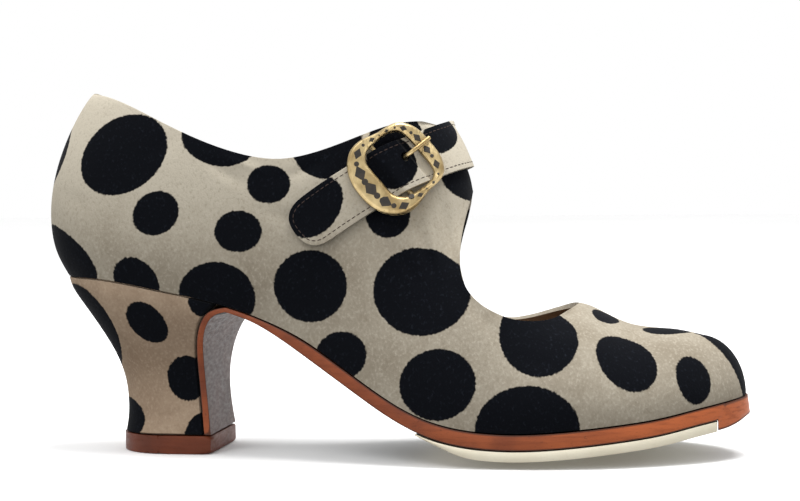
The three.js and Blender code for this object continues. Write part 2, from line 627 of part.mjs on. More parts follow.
// The place nearest to a point, from a place close by. It doesn't cross an open top edge.
function nearestPlace(target, near) {
  let place = near;
  for (let i = 0; i < NEAREST_PASSES; i += 1) {
    const here = placePoint(place);
    const bySection = placePoint({ ...place, section: place.section + TOLERANCE }).sub(here);
    const byTurn = placePoint({ ...place, turn: place.turn + TOLERANCE }).sub(here);
    const off = target.clone().sub(here).multiplyScalar(TOLERANCE);
    const [ss, st, tt] = [bySection.dot(bySection), bySection.dot(byTurn), byTurn.dot(byTurn)];
    const [so, to] = [bySection.dot(off), byTurn.dot(off)];
    const area = ss * tt - st * st;
    const turn = place.turn + (to * ss - so * st) / area;
    const beyond = turn * near.turn < 0 && !isClosed(place.section);
    const move = beyond ? so / ss : (so * tt - to * st) / area;
    const section = clamp(place.section + clamp(move, -1, 1), 0, LAST);
    place = { section, turn: beyond ? 0 : clamp(turn, -1, 1) };
  }
  return place;
}

// Lays a point down on the upper, or on the upper's tangent plane where the point lies beyond an edge.
function layDown(target, near) {
  const place = nearestPlace(target, near);
  const normal = placeNormal(place);
  const off = target.clone().sub(placePoint(place));
  const point = target.clone().addScaledVector(normal, -off.dot(normal));
  return { place, point, normal };
}

// Station on the strap's middle line at a distance from the ridge, above 0 on the outer side: its place, its
// point, the upper's normal there, and the directions along the strap (to the free end) and across it. It is
// reached by walking from another station.
function strapStation(from, to) {
  const way = to - from.distance;
  const steps = Math.max(1, Math.ceil(Math.abs(way) / WALK_STEP));
  let station = from;
  for (let i = 1; i <= steps; i += 1) {
    const distance = from.distance + (way * i) / steps;
    const lean = THREE.MathUtils.degToRad(STRAP_LEAN + STRAP_CURVE * Math.abs(distance));
    const plane = new THREE.Vector3(-Math.sin(lean), 0, Math.cos(lean));
    const target = station.point.clone().addScaledVector(station.along, way / steps);
    const laid = layDown(target, station.place);
    const along = new THREE.Vector3().crossVectors(plane, laid.normal).normalize();
    if (along.y > 0) along.negate();
    const across = new THREE.Vector3().crossVectors(along, laid.normal);
    if (across.x < 0) across.negate();
    station = { ...laid, distance, along, across };
  }
  return station;
}

const RIDGE = strapStation({
  point: placePoint({ section: STRAP_CROSSES, turn: 0 }),
  place: { section: STRAP_CROSSES, turn: 0 },
  distance: 0,
  along: new THREE.Vector3(),
}, 0);

const TURN = THREE.MathUtils.degToRad(BUCKLE_TURN);
const ORIGIN = new THREE.Vector2();

// Height of the strap's underside above the upper: it humps over the buckle's bar and the root of the prong.
function strapLift(u) {
  const hump = smoothstep(u, ...HUMP_BACK) * (1 - smoothstep(u, ...HUMP_FRONT));
  return GAP + hump * (BAR_DIAMETER + GAP);
}

function strapGeometry() {
  const [humpFrom, humpTo] = [BUCKLE_AT - HUMP_FRONT[1], BUCKLE_AT - HUMP_BACK[0]];
  const spread = (from, to, step) => {
    const count = Math.ceil((to - from) / step);
    return Array.from({ length: count }, (_, i) => lerp(from, to, i / count));
  };
  const tail = STRAP_OUTER - TAIL_ROUND;
  const round = Array.from({ length: TAIL_STEPS + 1 }, (_, i) => {
    return tail + TAIL_ROUND * Math.sin((Math.PI / 2) * (i / TAIL_STEPS));
  });
  const inner = spread(-STRAP_INNER, 0, STRAP_STEP);
  const outer = [
    ...spread(0, humpFrom, STRAP_STEP),
    ...spread(humpFrom, humpTo, HUMP_STEP),
    ...spread(humpTo, tail, STRAP_STEP),
    ...round,
  ];
  const stationAt = new Map();
  for (const way of [[...inner].reverse(), outer]) {
    let station = RIDGE;
    for (const distance of way) {
      station = strapStation(station, distance);
      stationAt.set(distance, station);
    }
  }
  const rows = [...inner, ...outer].map((distance) => {
    const at = stationAt.get(distance);
    const left = clamp((STRAP_OUTER - distance) / TAIL_ROUND, 0, 1);
    const half = (STRAP_WIDTH / 2) * Math.pow(1 - Math.pow(1 - left, TAIL_BLUNT), 1 / TAIL_BLUNT);
    return Array.from({ length: STRAP_COLUMNS + 1 }, (_, j) => {
      const share = (2 * j) / STRAP_COLUMNS - 1;
      const off = share * half;
      const slant = off * Math.tan(TURN) * (1 - smoothstep(Math.abs(distance - BUCKLE_AT), ...SLANT_FADES));
      const onBuckle = new THREE.Vector2(BUCKLE_AT - distance + slant, off).rotateAround(ORIGIN, TURN);
      const lift = strapLift(onBuckle.x);
      const target = at.point.clone().addScaledVector(at.across, off).addScaledVector(at.along, -slant);
      const laid = layDown(target, at.place);
      const under = laid.point.clone().addScaledVector(laid.normal, lift);
      const over = under.clone().addScaledVector(laid.normal, STRAP);
      return { under, over };
    });
  });
  const faces = new Faces();
  const last = rows.length - 1;
  const over = rows.map((row) => row.map((cell) => cell.over));
  const under = rows.map((row) => row.map((cell) => cell.under));
  faces.grid(over);
  faces.grid(under, true);
  faces.grid(rows.map((_, i) => [under[i][0], over[i][0]]));
  faces.grid(rows.map((_, i) => [under[i][STRAP_COLUMNS], over[i][STRAP_COLUMNS]]), true);
  faces.grid([under[0], over[0]]);
  faces.grid([under[last], over[last]], true);
  const hole = [0, 2 * (STRAP + BAR_DIAMETER)].map((height) => bucklePlacer()(HOLE, height));
  return geometryOf(solidOf(faces.geometry()).subtract(solidOf(rodGeometry(hole, HOLE_DIAMETER))));
}

// Buckle frame: the point at u, v and a height above the upper
function bucklePlacer() {
  const middle = strapStation(RIDGE, BUCKLE_AT);
  const u = middle.along.clone().negate().applyAxisAngle(middle.normal, TURN);
  const v = middle.across.clone().applyAxisAngle(middle.normal, TURN);
  return (at, height) => {
    const target = middle.point.clone().addScaledVector(u, at.u).addScaledVector(v, at.v);
    const laid = layDown(target, middle.place);
    return laid.point.clone().addScaledVector(laid.normal, height);
  };
}

// A round rod along a line of points, with flat ends
function rodGeometry(line, diameter) {
  const rings = line.map((point, i) => {
    const along = line[Math.min(i + 1, line.length - 1)].clone().sub(line[Math.max(i - 1, 0)]).normalize();
    const right = new THREE.Vector3().crossVectors(along, new THREE.Vector3(1, 0, 0)).normalize();
    const up = new THREE.Vector3().crossVectors(right, along);
    return Array.from({ length: ROD_SIDES + 1 }, (_, k) => {
      const angle = (2 * Math.PI * (k % ROD_SIDES)) / ROD_SIDES;
      const out = right.clone().multiplyScalar(Math.cos(angle)).addScaledVector(up, Math.sin(angle));
      return point.clone().addScaledVector(out, diameter / 2);
    });
  });
  const faces = new Faces();
  faces.grid(rings);
  const last = rings.length - 1;
  for (let k = 1; k < ROD_SIDES - 1; k += 1) {
    faces.triangle(rings[0][0], rings[0][k], rings[0][k + 1]);
    faces.triangle(rings[last][0], rings[last][k + 1], rings[last][k]);
  }
  return faces.geometry();
}

function outlineLoop(rows) {
  const there = rows.map((row) => new THREE.Vector3(row.u, row.v, 0));
  const back = rows.slice(1, -1).reverse().map((row) => new THREE.Vector3(row.u, -row.v, 0));
  const curve = new THREE.CatmullRomCurve3([...there, ...back], true, 'centripetal');
  return curve.getSpacedPoints(BUCKLE_STEPS).slice(0, BUCKLE_STEPS);
}

function buckleGeometry() {
  const put = bucklePlacer();
  const [outside, window] = [outlineLoop(BUCKLE_OUTLINE), outlineLoop(WINDOW_OUTLINE)];
  const overStrap = STRAP + GAP + BUCKLE_CLEAR;
  const underAt = (at) => {
    const onStrap = new THREE.Vector2(at.u, at.v).rotateAround(ORIGIN, -TURN);
    const edge = STRAP_WIDTH / 2 + BUCKLE_CLEAR;
    const beside = smoothstep(Math.abs(onStrap.y), edge, edge + BUCKLE_SLOPE);
    return lerp(overStrap, BUCKLE_SIDE, beside);
  };
  const ring = outside.map((out, i) => {
    const at = (share) => ({ u: lerp(out.x, window[i].x, share), v: lerp(out.y, window[i].y, share) });
    const wide = out.distanceTo(window[i]);
    const bevel = BUCKLE_BEVEL / wide;
    const [first, last] = [at(0), at(1)];
    return [
      put(first, underAt(first)),
      put(first, BUCKLE_TOP - BUCKLE_BEVEL),
      put(at(bevel), BUCKLE_TOP),
      put(at(1 - bevel), BUCKLE_TOP),
      put(last, BUCKLE_TOP - BUCKLE_BEVEL),
      put(last, underAt(last)),
      put(first, underAt(first)),
    ];
  });
  const faces = new Faces();
  faces.grid([...ring, ring[0]], true);
  const barHeight = GAP + BAR_DIAMETER / 2;
  const bar = Array.from({ length: BAR_STEPS + 1 }, (_, i) => {
    return put({ u: 0, v: lerp(-BAR_REACH, BAR_REACH, i / BAR_STEPS) }, barHeight);
  });
  const joined = solidOf(faces.geometry()).add(solidOf(rodGeometry(bar, BAR_DIAMETER)));
  return geometryOf(joined);
}

// Prong: from the bar, under the strap, up through its hole and over the front of the frame
function prongGeometry() {
  const put = bucklePlacer();
  const low = GAP + PRONG_DIAMETER / 2;
  const high = BUCKLE_TOP + low;
  const root = put({ u: BAR_DIAMETER + GAP, v: PRONG_OFFSET }, low);
  const rise = PRONG_RISE.map((row) => put({ u: HOLE.u + row.past, v: PRONG_OFFSET }, lerp(low, high, row.up)));
  const tip = put({ u: PRONG_TIP, v: PRONG_OFFSET }, high - GAP);
  const line = [root, ...rise, tip];
  return rodGeometry(new THREE.CatmullRomCurve3(line).getSpacedPoints(PRONG_STEPS), PRONG_DIAMETER);
}

function named(name, geometry, colour, roughness, metalness = 0) {
  const material = new THREE.MeshStandardMaterial({ color: colour, roughness, metalness });
  const mesh = new THREE.Mesh(geometry, material);
  mesh.name = name;
  return mesh;
}

const SUEDE = 0xb5ab9b;
const LEATHER_BROWN = 0xa4583a;
const BRASS = 0xc9a76c;
const shoe = new THREE.Group();
shoe.add(named('upper', upperGeometry(), SUEDE, 0.9));
shoe.add(named('insole', insoleGeometry(), 0x8a6a4c, 0.7));
shoe.add(named('outsole', outsoleGeometry(), LEATHER_BROWN, 0.55));
shoe.add(named('half_sole', halfSoleGeometry(), 0xeee6d0, 0.6));
shoe.add(named('heel', heelGeometry(), SUEDE, 0.9));
shoe.add(named('top_piece', topPieceGeometry(), LEATHER_BROWN, 0.5));
shoe.add(named('strap', strapGeometry(), SUEDE, 0.9));
shoe.add(named('buckle_frame', buckleGeometry(), BRASS, 0.3, 1));
shoe.add(named('buckle_prong', prongGeometry(), BRASS, 0.3, 1));
shoe.position.x = -(HEEL_BASE_BACK + HEEL_BASE_FRONT) / 2;

export default shoe;
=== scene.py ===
"""Looks of a heeled flamenco dance shoe for the right foot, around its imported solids."""

import json
import logging
import math
from dataclasses import dataclass, field
from enum import Enum

import bmesh
import bpy
import numpy as np
from mathutils import Matrix, Vector
from mathutils.bvhtree import BVHTree

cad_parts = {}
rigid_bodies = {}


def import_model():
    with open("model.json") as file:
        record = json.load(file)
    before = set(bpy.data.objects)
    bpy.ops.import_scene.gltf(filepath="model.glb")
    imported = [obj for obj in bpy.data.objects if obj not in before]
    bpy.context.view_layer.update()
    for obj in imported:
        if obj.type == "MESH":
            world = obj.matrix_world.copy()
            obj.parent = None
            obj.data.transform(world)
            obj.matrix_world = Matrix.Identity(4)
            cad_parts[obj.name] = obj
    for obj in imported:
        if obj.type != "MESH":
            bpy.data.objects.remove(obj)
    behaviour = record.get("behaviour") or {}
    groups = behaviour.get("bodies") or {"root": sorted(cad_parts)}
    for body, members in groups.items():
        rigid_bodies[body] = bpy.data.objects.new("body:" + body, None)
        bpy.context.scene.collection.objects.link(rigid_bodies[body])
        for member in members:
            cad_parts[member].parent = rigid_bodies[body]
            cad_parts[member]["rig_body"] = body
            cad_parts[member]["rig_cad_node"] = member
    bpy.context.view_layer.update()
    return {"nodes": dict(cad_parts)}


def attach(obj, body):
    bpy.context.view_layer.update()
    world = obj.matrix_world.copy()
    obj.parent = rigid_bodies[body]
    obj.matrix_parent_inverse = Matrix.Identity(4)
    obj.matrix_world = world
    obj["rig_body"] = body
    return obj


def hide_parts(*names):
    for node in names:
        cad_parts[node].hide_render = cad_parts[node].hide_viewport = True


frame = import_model()

MM = 0.001
PRINT = "print_edge"
RISE = "edge_rise"
WELD = 2e-6
QUAD_FOLD = math.radians(40)
QUAD_SKEW = math.radians(55)
SHADE_FOLD = math.radians(50)
CURVE_STEPS = 8
CREASE_END = 0.12
LOG = logging.getLogger("shoe")

Colour = tuple[float, float, float, float]
Piece = bpy.types.Object
Socket = bpy.types.NodeSocket


def tone(red: int, green: int, blue: int) -> Colour:
    """Turns a colour as the eye reads it into the shader's linear colour.

    Args:
        red: Its red, from 0 to 255.
        green: Its green.
        blue: Its blue.

    Returns:
        The linear colour, opaque.
    """
    linear = []
    for part in (red, green, blue):
        share = part / 255
        linear.append(share / 12.92 if share <= 0.04045 else ((share + 0.055) / 1.055) ** 2.4)
    return (*linear, 1.0)


# Mesh work

def deselect() -> None:
    """Leaves object mode with nothing selected."""
    if bpy.context.object is not None and bpy.context.object.mode != "OBJECT":
        bpy.ops.object.mode_set(mode="OBJECT")
    bpy.ops.object.select_all(action="DESELECT")


def pick(piece: Piece) -> None:
    """Selects one piece alone and makes it active.

    Args:
        piece: The piece.
    """
    deselect()
    piece.select_set(True)
    bpy.context.view_layer.objects.active = piece


def start_edit(kind: str, action: str) -> None:
    """Takes the active piece into edit mode.

    Args:
        kind: What is selected there, FACE or EDGE.
        action: SELECT for all of it, DESELECT for none.
    """
    bpy.ops.object.mode_set(mode="EDIT")
    bpy.ops.mesh.select_mode(type=kind)
    bpy.ops.mesh.select_all(action=action)


def choose_faces(piece: Piece, faces: set[int]) -> None:
    """Selects only some faces of the active piece, and stays in edit mode.

    Args:
        piece: The active piece.
        faces: The indices of the faces.
    """
    start_edit("FACE", "DESELECT")
    bpy.ops.object.mode_set(mode="OBJECT")
    for index in faces:
        piece.data.polygons[index].select = True
    bpy.ops.object.mode_set(mode="EDIT")


def take_copy(node: str, name: str, *finishes: bpy.types.Material) -> Piece:
    """Copies a CAD node, welds its triangles and joins them into quads.

    Args:
        node: The CAD node's name.
        name: The new piece's name.
        finishes: Its materials, in the order of its slots.

    Returns:
        The copy, free of the frame.
    """
    pick(frame["nodes"][node])
    bpy.ops.object.duplicate(linked=False)
    piece = bpy.context.object
    piece.name = name
    piece.data.name = name
    piece.parent = None
    piece.matrix_world = Matrix.Identity(4)
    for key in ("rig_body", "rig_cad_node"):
        if key in piece:
            del piece[key]
    piece.data.materials.clear()
    for finish in finishes:
        piece.data.materials.append(finish)
    if piece.data.has_custom_normals:
        bpy.ops.mesh.customdata_custom_splitnormals_clear()
    start_edit("FACE", "SELECT")
    bpy.ops.mesh.remove_doubles(threshold=WELD)
    bpy.ops.mesh.tris_convert_to_quads(face_threshold=QUAD_FOLD, shape_threshold=QUAD_SKEW)
    bpy.ops.mesh.select_all(action="DESELECT")
    bpy.ops.object.mode_set(mode="OBJECT")
    return piece


def flat_region(piece: Piece, seed: Vector, spread: float) -> set[int]:
    """Finds the faces that run on from the one nearest a point, up to the sharp edges.

    Args:
        piece: The piece to look at.
        seed: A point close to the first face.
        spread: The sharpest fold that is still followed, in degrees.

    Returns:
        The indices of the faces.
    """
    first = min(piece.data.polygons, key=lambda face: (face.center - seed).length).index
    pick(piece)
    choose_faces(piece, {first})
    bpy.ops.mesh.faces_select_linked_flat(sharpness=math.radians(spread))
    bpy.ops.object.mode_set(mode="OBJECT")
    return {face.index for face in piece.data.polygons if face.select}


def paint_faces(piece: Piece, faces: set[int], slot: int) -> None:
    """Gives some faces another of the piece's materials."""
    for index in faces:
        piece.data.polygons[index].material_index = slot


@dataclass(frozen=True)
class Rounding:
    """How a piece is smoothed: how many times it is subdivided, and which edges are held how hard."""

    levels: int
    fold: float
    hold: float


def soften(piece: Piece, rounding: Rounding) -> None:
    """Subdivides a piece into a smooth surface that keeps its edges.

    Args:
        piece: The piece to subdivide.
        rounding: Edges that fold by more than its fold, in degrees, are held by its hold, 0 to 1.
    """
    pick(piece)
    start_edit("EDGE", "DESELECT")
    bpy.ops.mesh.edges_select_sharp(sharpness=math.radians(rounding.fold))
    bpy.ops.transform.edge_crease(value=rounding.hold)
    bpy.ops.mesh.select_all(action="DESELECT")
    bpy.ops.object.mode_set(mode="OBJECT")
    modifier = piece.modifiers.new("smooth", "SUBSURF")
    modifier.levels = rounding.levels
    modifier.render_levels = rounding.levels
    bpy.ops.object.modifier_apply(modifier=modifier.name)
    bpy.ops.object.shade_smooth_by_angle(angle=SHADE_FOLD)


def points_of(piece: Piece) -> tuple[np.ndarray, np.ndarray]:
    """Reads a piece's vertices and their normals.

    Args:
        piece: The piece.

    Returns:
        The places and the normals, each as rows of three numbers.
    """
    mesh = piece.data
    places = np.zeros(len(mesh.vertices) * 3)
    normals = np.zeros(len(mesh.vertices) * 3)
    mesh.vertices.foreach_get("co", places)
    mesh.vertices.foreach_get("normal", normals)
    return places.reshape(-1, 3), normals.reshape(-1, 3)


def move_points(piece: Piece, places: np.ndarray) -> None:
    """Writes a piece's vertices back."""
    piece.data.vertices.foreach_set("co", places.reshape(-1))
    piece.data.update()


def surface_of(piece: Piece) -> BVHTree:
    """Makes the search tree of a piece's surface."""
    corners = [vertex.co.copy() for vertex in piece.data.vertices]
    return BVHTree.FromPolygons(corners, [tuple(face.vertices) for face in piece.data.polygons])


def write_values(piece: Piece, name: str, values: np.ndarray) -> None:
    """Stores one number for each vertex of a piece, for its material to read."""
    layer = piece.data.attributes.new(name, "FLOAT", "POINT")
    layer.data.foreach_set("value", values.astype(np.float32))


def settle(piece: Piece, slot: str, *nodes: str) -> None:
    """Puts a finished piece into the frame.

    Args:
        piece: The finished piece, with its place in its mesh.
        slot: The record's material slot; not used.
        nodes: The CAD nodes that it stands for.
    """
    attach(piece, "root")
    if nodes:
        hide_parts(*nodes)
    LOG.info("%s: %d faces", piece.name, len(piece.data.polygons))


# Camera of the photograph

@dataclass(frozen=True)
class PhotoView:
    """The camera that took the photograph, in metres, degrees and pixels."""

    place: tuple[float, float, float] = (0.1882, -0.6479, 0.0965)
    turn: float = 9.54
    tilt: float = 2.51
    roll: float = -0.545
    focal: float = 1943.0
    width: int = 800
    height: int = 501
    sensor: float = 36.0

    def axes(self) -> tuple[Vector, Vector, Vector]:
        """Gives the picture's own directions.

        Returns:
            The directions to the right, up and ahead.
        """
        turn = math.radians(self.turn)
        tilt = math.radians(self.tilt)
        roll = math.radians(self.roll)
        level = Vector((math.cos(turn), math.sin(turn), 0))
        ahead = Vector(
            (-math.sin(turn) * math.cos(tilt), math.cos(turn) * math.cos(tilt), -math.sin(tilt))
        )
        upright = level.cross(ahead)
        right = level * math.cos(roll) + upright * math.sin(roll)
        up = upright * math.cos(roll) - level * math.sin(roll)
        return right, up, ahead

    def sight(self, across: float, down: float) -> Vector:
        """Gives the direction from the camera through a place in the picture.

        Args:
            across: The pixels from its left edge.
            down: The pixels from its top.

        Returns:
            The direction.
        """
        right, up, ahead = self.axes()
        line = ahead * self.focal
        line += right * (across - self.width / 2)
        line -= up * (down - self.height / 2)
        return line.normalized()

    def build(self) -> None:
        """Adds the camera to the scene and makes it the scene's own."""
        right, up, ahead = self.axes()
        turned = Matrix((right, up, -ahead)).transposed().to_4x4()
        bpy.ops.object.camera_add()
        camera = bpy.context.object
        camera.name = "photo_camera"
        camera.matrix_world = Matrix.Translation(Vector(self.place)) @ turned
        camera.data.sensor_width = self.sensor
        camera.data.lens = self.focal / self.width * self.sensor
        camera.data.clip_start = 0.01
        bpy.context.scene.camera = camera


VIEW = PhotoView()


# Printed dots

class Side(Enum):
    """From where a dot is charted, and in what measure."""

    OUTER = "photograph, in pixels across and down"
    INNER = "inner side, in millimetres forward and up"
    BACK = "behind, in millimetres to the inner side and up"
    TOP = "above, in millimetres forward and to the inner side"


@dataclass(frozen=True)
class Dot:
    """One printed dot, by its extents as seen from its side."""

    side: Side
    low_across: float
    high_across: float
    low_up: float
    high_up: float
    lean: float = 0.0

    def centre(self) -> tuple[float, float]:
        """Gives the middle of the dot's extents."""
        return (self.low_across + self.high_across) / 2, (self.low_up + self.high_up) / 2

    def spread(self) -> np.ndarray:
        """Gives the shape of the dot as seen.

        Returns:
            The matrix whose inverse measures shares of the dot's radius.
        """
        half = abs(self.high_across - self.low_across) / 2
        tall = abs(self.high_up - self.low_up) / 2
        return np.array([[half * half, self.lean * tall], [self.lean * tall, tall * tall]])


def seen(left: float, right: float, top: float, bottom: float, lean: float = 0.0) -> Dot:
    """Charts a dot that the photograph shows, by its extents in pixels."""
    return Dot(Side.OUTER, left, right, top, bottom, lean)


def round_dot(side: Side, across: float, up: float, radius: float) -> Dot:
    """Charts a round dot that the photograph doesn't show, in millimetres."""
    return Dot(side, across - radius, across + radius, up - radius, up + radius)


def inner_dots(*spots: tuple[float, float, float]) -> tuple[Dot, ...]:
    """Charts round dots on the inner side, each by how far forward and up, and its radius."""
    return tuple(round_dot(Side.INNER, *spot) for spot in spots)


UPPER_DOTS = (
    seen(78, 167.5, 114, 194.7, 11),
    seen(181, 257, 113.5, 166.5, -6),
    seen(132, 179.3, 191, 235.5, 3),
    seen(214, 262, 210.5, 252.3),
    Dot(Side.BACK, -26.7, -5.3, 52.5, 76.5),
    seen(112.5, 160, 258, 306, -7),
    seen(178, 256, 263, 330, -3),
    seen(246.5, 290.5, 165, 203.5),
    seen(292, 364, 118, 179),
    seen(370, 425, 112, 160),
    seen(365.5, 410.5, 190, 238),
    seen(442, 492, 156, 201, -4),
    seen(455, 489, 209, 246),
    seen(373, 470.5, 248, 335),
    seen(273, 347, 250, 322.5),
    seen(316, 366, 331.5, 380),
    seen(399, 475, 349, 420.5, 2),
    seen(475, 579.5, 387, 475),
    seen(499, 578, 301, 372.5, -4),
    seen(596, 657, 334, 387.7, -9),
    seen(676, 712, 355.5, 403, -3.5),
    seen(591, 621, 308, 323, -5),
    seen(642, 692, 323, 334),
    round_dot(Side.BACK, -6, 100.5, 10.3),
    round_dot(Side.BACK, 18, 80, 7),
    round_dot(Side.TOP, 192.2, 5.8, 12.7),
    *inner_dots(
        (-18, 100, 9), (-6, 76, 9), (8, 105, 9), (30, 92, 10),
        (22, 66, 12), (46, 76, 8), (52, 54, 11), (57, 90, 6.5),
        (76, 68, 12), (72, 38, 8), (94, 46, 11), (92, 88, 8),
        (98, 22, 8), (118, 32, 10), (128, 14, 9), (146, 26, 9),
        (168, 18, 9),
    ),
)

STRAP_DOTS = (
    seen(286.5, 343, 176, 238, 9),
    seen(366, 418.5, 134, 189),
    seen(424, 460, 112, 153, 2),
    *inner_dots((92, 92, 8.5), (80, 72, 6)),
)

HEEL_DOTS = (
    seen(60, 124.5, 286, 372, -16),
    seen(126, 168, 302, 343.5, -8),
    seen(187.5, 222, 283, 317),
    seen(167, 209, 354.5, 400.5),
    seen(185, 228, 412, 462),
    seen(114, 146, 397, 439),
    *inner_dots((-16, 40, 6), (6, 48, 6.5), (4, 27, 7.5), (-6, 10, 7), (12, 8, 5.5)),
)


class PrintedDots:
    """Lays charted dots onto the outside of a piece."""

    FACING = -0.25
    STRETCH = 1.5
    START = 0.3
    AROUND = 8 * MM
    FAR_OUTSIDE = 50.0

    def __init__(self, piece: Piece) -> None:
        """Reads the piece's surface.

        Args:
            piece: A finished dense mesh, whose first material is the printed one.
        """
        self.piece = piece
        self.places, self.normals = points_of(piece)
        self.tree = surface_of(piece)
        self.printed = np.zeros(len(self.places), bool)
        for face in piece.data.polygons:
            if face.material_index == 0:
                self.printed[list(face.vertices)] = True

    def sight(self, dot: Dot) -> tuple[Vector, Vector, Vector, Vector]:
        """Gives how a dot is seen.

        Args:
            dot: The dot.

        Returns:
            The eye, the line of sight, and right and up there.
        """
        across, up = dot.centre()
        if dot.side is Side.OUTER:
            right, upward, _ = VIEW.axes()
            return Vector(VIEW.place), VIEW.sight(across, up), right, upward
        across *= MM
        up *= MM
        ahead, inward, upward = Vector((1, 0, 0)), Vector((0, 1, 0)), Vector((0, 0, 1))
        if dot.side is Side.INNER:
            return Vector((across, self.START, up)), -inward, ahead, upward
        if dot.side is Side.BACK:
            return Vector((-self.START, across, up)), ahead, inward, upward
        return Vector((across, up, self.START)), -upward, ahead, inward

    def land(self, eye: Vector, line: Vector) -> tuple[Vector, Vector]:
        """Finds where a line of sight meets the print, or passes closest to it.

        Args:
            eye: Where the line starts.
            line: Its direction.

        Returns:
            The point and the surface's normal there.
        """
        hit, normal, index, _ = self.tree.ray_cast(eye, line)
        if hit is not None and normal.dot(line) < self.FACING:
            if self.piece.data.polygons[index].material_index == 0:
                close = np.linalg.norm(self.places - np.array(hit), axis=1) < self.AROUND
                close &= self.printed & ((self.normals @ np.array(line)) < self.FACING)
                if close.any():
                    normal = Vector(self.normals[close].mean(axis=0)).normalized()
                return hit, normal
        reach = self.places - np.array(eye)
        along = reach @ np.array(line)
        off = np.linalg.norm(reach - along[:, None] * np.array(line), axis=1)
        off[~self.printed] = np.inf
        off[(self.normals @ np.array(line)) > self.FACING] = np.inf
        nearest = self.places[int(off.argmin())]
        close = np.linalg.norm(self.places - nearest, axis=1) < self.AROUND
        close &= np.isfinite(off)
        normal = Vector(self.normals[close].mean(axis=0)).normalized()
        gap = Vector(self.places[close].mean(axis=0)) - eye
        return eye + line * (gap.dot(normal) / line.dot(normal)), normal

    def measure(self, dot: Dot) -> np.ndarray:
        """Measures how far each vertex lies outside the edge of one dot.

        Args:
            dot: The dot.

        Returns:
            The distances in millimetres, below zero inside it.
        """
        eye, line, right, up = self.sight(dot)
        middle, normal = self.land(eye, line)
        unit = MM
        spread = dot.spread()
        if dot.side is Side.OUTER:
            unit = (middle - eye).length / VIEW.focal
        along = (right - normal * right.dot(normal)).normalized()
        other = normal.cross(along)
        turn = np.array([[along.dot(right), other.dot(right)], [along.dot(up), other.dot(up)]])
        form = turn.T @ np.linalg.inv(spread * unit * unit) @ turn
        powers, ways = np.linalg.eigh(form)
        widest = self.STRETCH * math.sqrt(max(spread[0, 0], spread[1, 1])) * unit
        powers = np.maximum(powers, 1 / widest**2)
        form = ways @ np.diag(powers) @ ways.T
        reach = self.places - np.array(middle)
        flat = np.stack([reach @ np.array(along), reach @ np.array(other)], 1)
        deep = reach @ np.array(normal)
        share = np.einsum("ij,jk,ik->i", flat, form, flat) + deep**2 * powers.min()
        radius = (powers[0] * powers[1]) ** -0.25
        return (np.sqrt(share) - 1) * radius / MM

    def apply(self, dots: tuple[Dot, ...]) -> None:
        """Stores the distance outside the nearest dot's edge at each vertex.

        Args:
            dots: The dots that the piece carries.
        """
        nearest = np.full(len(self.places), self.FAR_OUTSIDE)
        for dot in dots:
            nearest = np.minimum(nearest, self.measure(dot))
        write_values(self.piece, PRINT, nearest)


# Creases

@dataclass(frozen=True)
class Crease:
    """A soft trough or ridge on one side of the shoe, in millimetres forward and up."""

    start: tuple[float, float]
    end: tuple[float, float]
    width: float
    depth: float
    outer: bool = True


def press(piece: Piece, creases: tuple[Crease, ...]) -> None:
    """Presses creases into a piece, through its whole wall.

    Args:
        piece: The dense mesh.
        creases: The creases; a negative depth raises a ridge.
    """
    places, normals = points_of(piece)
    wall = normals * np.sign((normals[:, 1] * places[:, 1]))[:, None]
    plan = places[:, [0, 2]] / MM
    for crease in creases:
        start = np.array(crease.start)
        way = np.array(crease.end) - start
        share = np.clip((plan - start) @ way / (way @ way), 0, 1)
        off = np.linalg.norm(plan - start - share[:, None] * way, axis=1)
        fade = np.sin(np.pi * (CREASE_END + (1 - 2 * CREASE_END) * share))
        weight = np.exp(-((off / crease.width) ** 2)) * fade
        weight[(places[:, 1] < 0) != crease.outer] = 0
        places = places - wall * (weight * crease.depth * MM)[:, None]
    move_points(piece, places)


# Seam lines

def border_lines(piece: Piece, faces: set[int], inset: float) -> list[np.ndarray]:
    """Finds the closed lines that run beside the border of some faces.

    Args:
        piece: The coarse mesh.
        faces: The faces whose border is followed.
        inset: How far the lines lie inside the border, in metres.

    Returns:
        The lines, each as rows of three numbers.
    """
    work = bmesh.new()
    work.from_mesh(piece.data)
    work.faces.ensure_lookup_table()
    inside = {work.faces[index] for index in faces}
    links: dict[int, list[int]] = {}
    for edge in work.edges:
        if sum(face in inside for face in edge.link_faces) == 1:
            one, two = edge.verts
            links.setdefault(one.index, []).append(two.index)
            links.setdefault(two.index, []).append(one.index)
    work.verts.ensure_lookup_table()
    left = set(links)
    lines = []
    while left:
        now = min(left)
        order = [now]
        left.discard(now)
        while True:
            ahead = [index for index in links[now] if index in left]
            if not ahead:
                break
            now = ahead[0]
            left.discard(now)
            order.append(now)
        rows = []
        for spot, index in enumerate(order):
            vertex = work.verts[index]
            before = work.verts[order[spot - 1]].co
            after = work.verts[order[(spot + 1) % len(order)]].co
            tangent = (after - before).normalized()
            near = [face for face in vertex.link_faces if face in inside]
            normal = sum((face.normal for face in near), Vector()).normalized()
            middle = sum((face.calc_center_median() for face in near), Vector()) / len(near)
            inward = middle - vertex.co
            inward -= tangent * inward.dot(tangent)
            inward -= normal * inward.dot(normal)
            rows.append(vertex.co + inward.normalized() * inset)
        lines.append(np.array(rows))
    work.free()
    return lines


def length_of(line: np.ndarray) -> float:
    """Measures a closed line."""
    return float(np.linalg.norm(np.roll(line, -1, 0) - line, axis=1).sum())


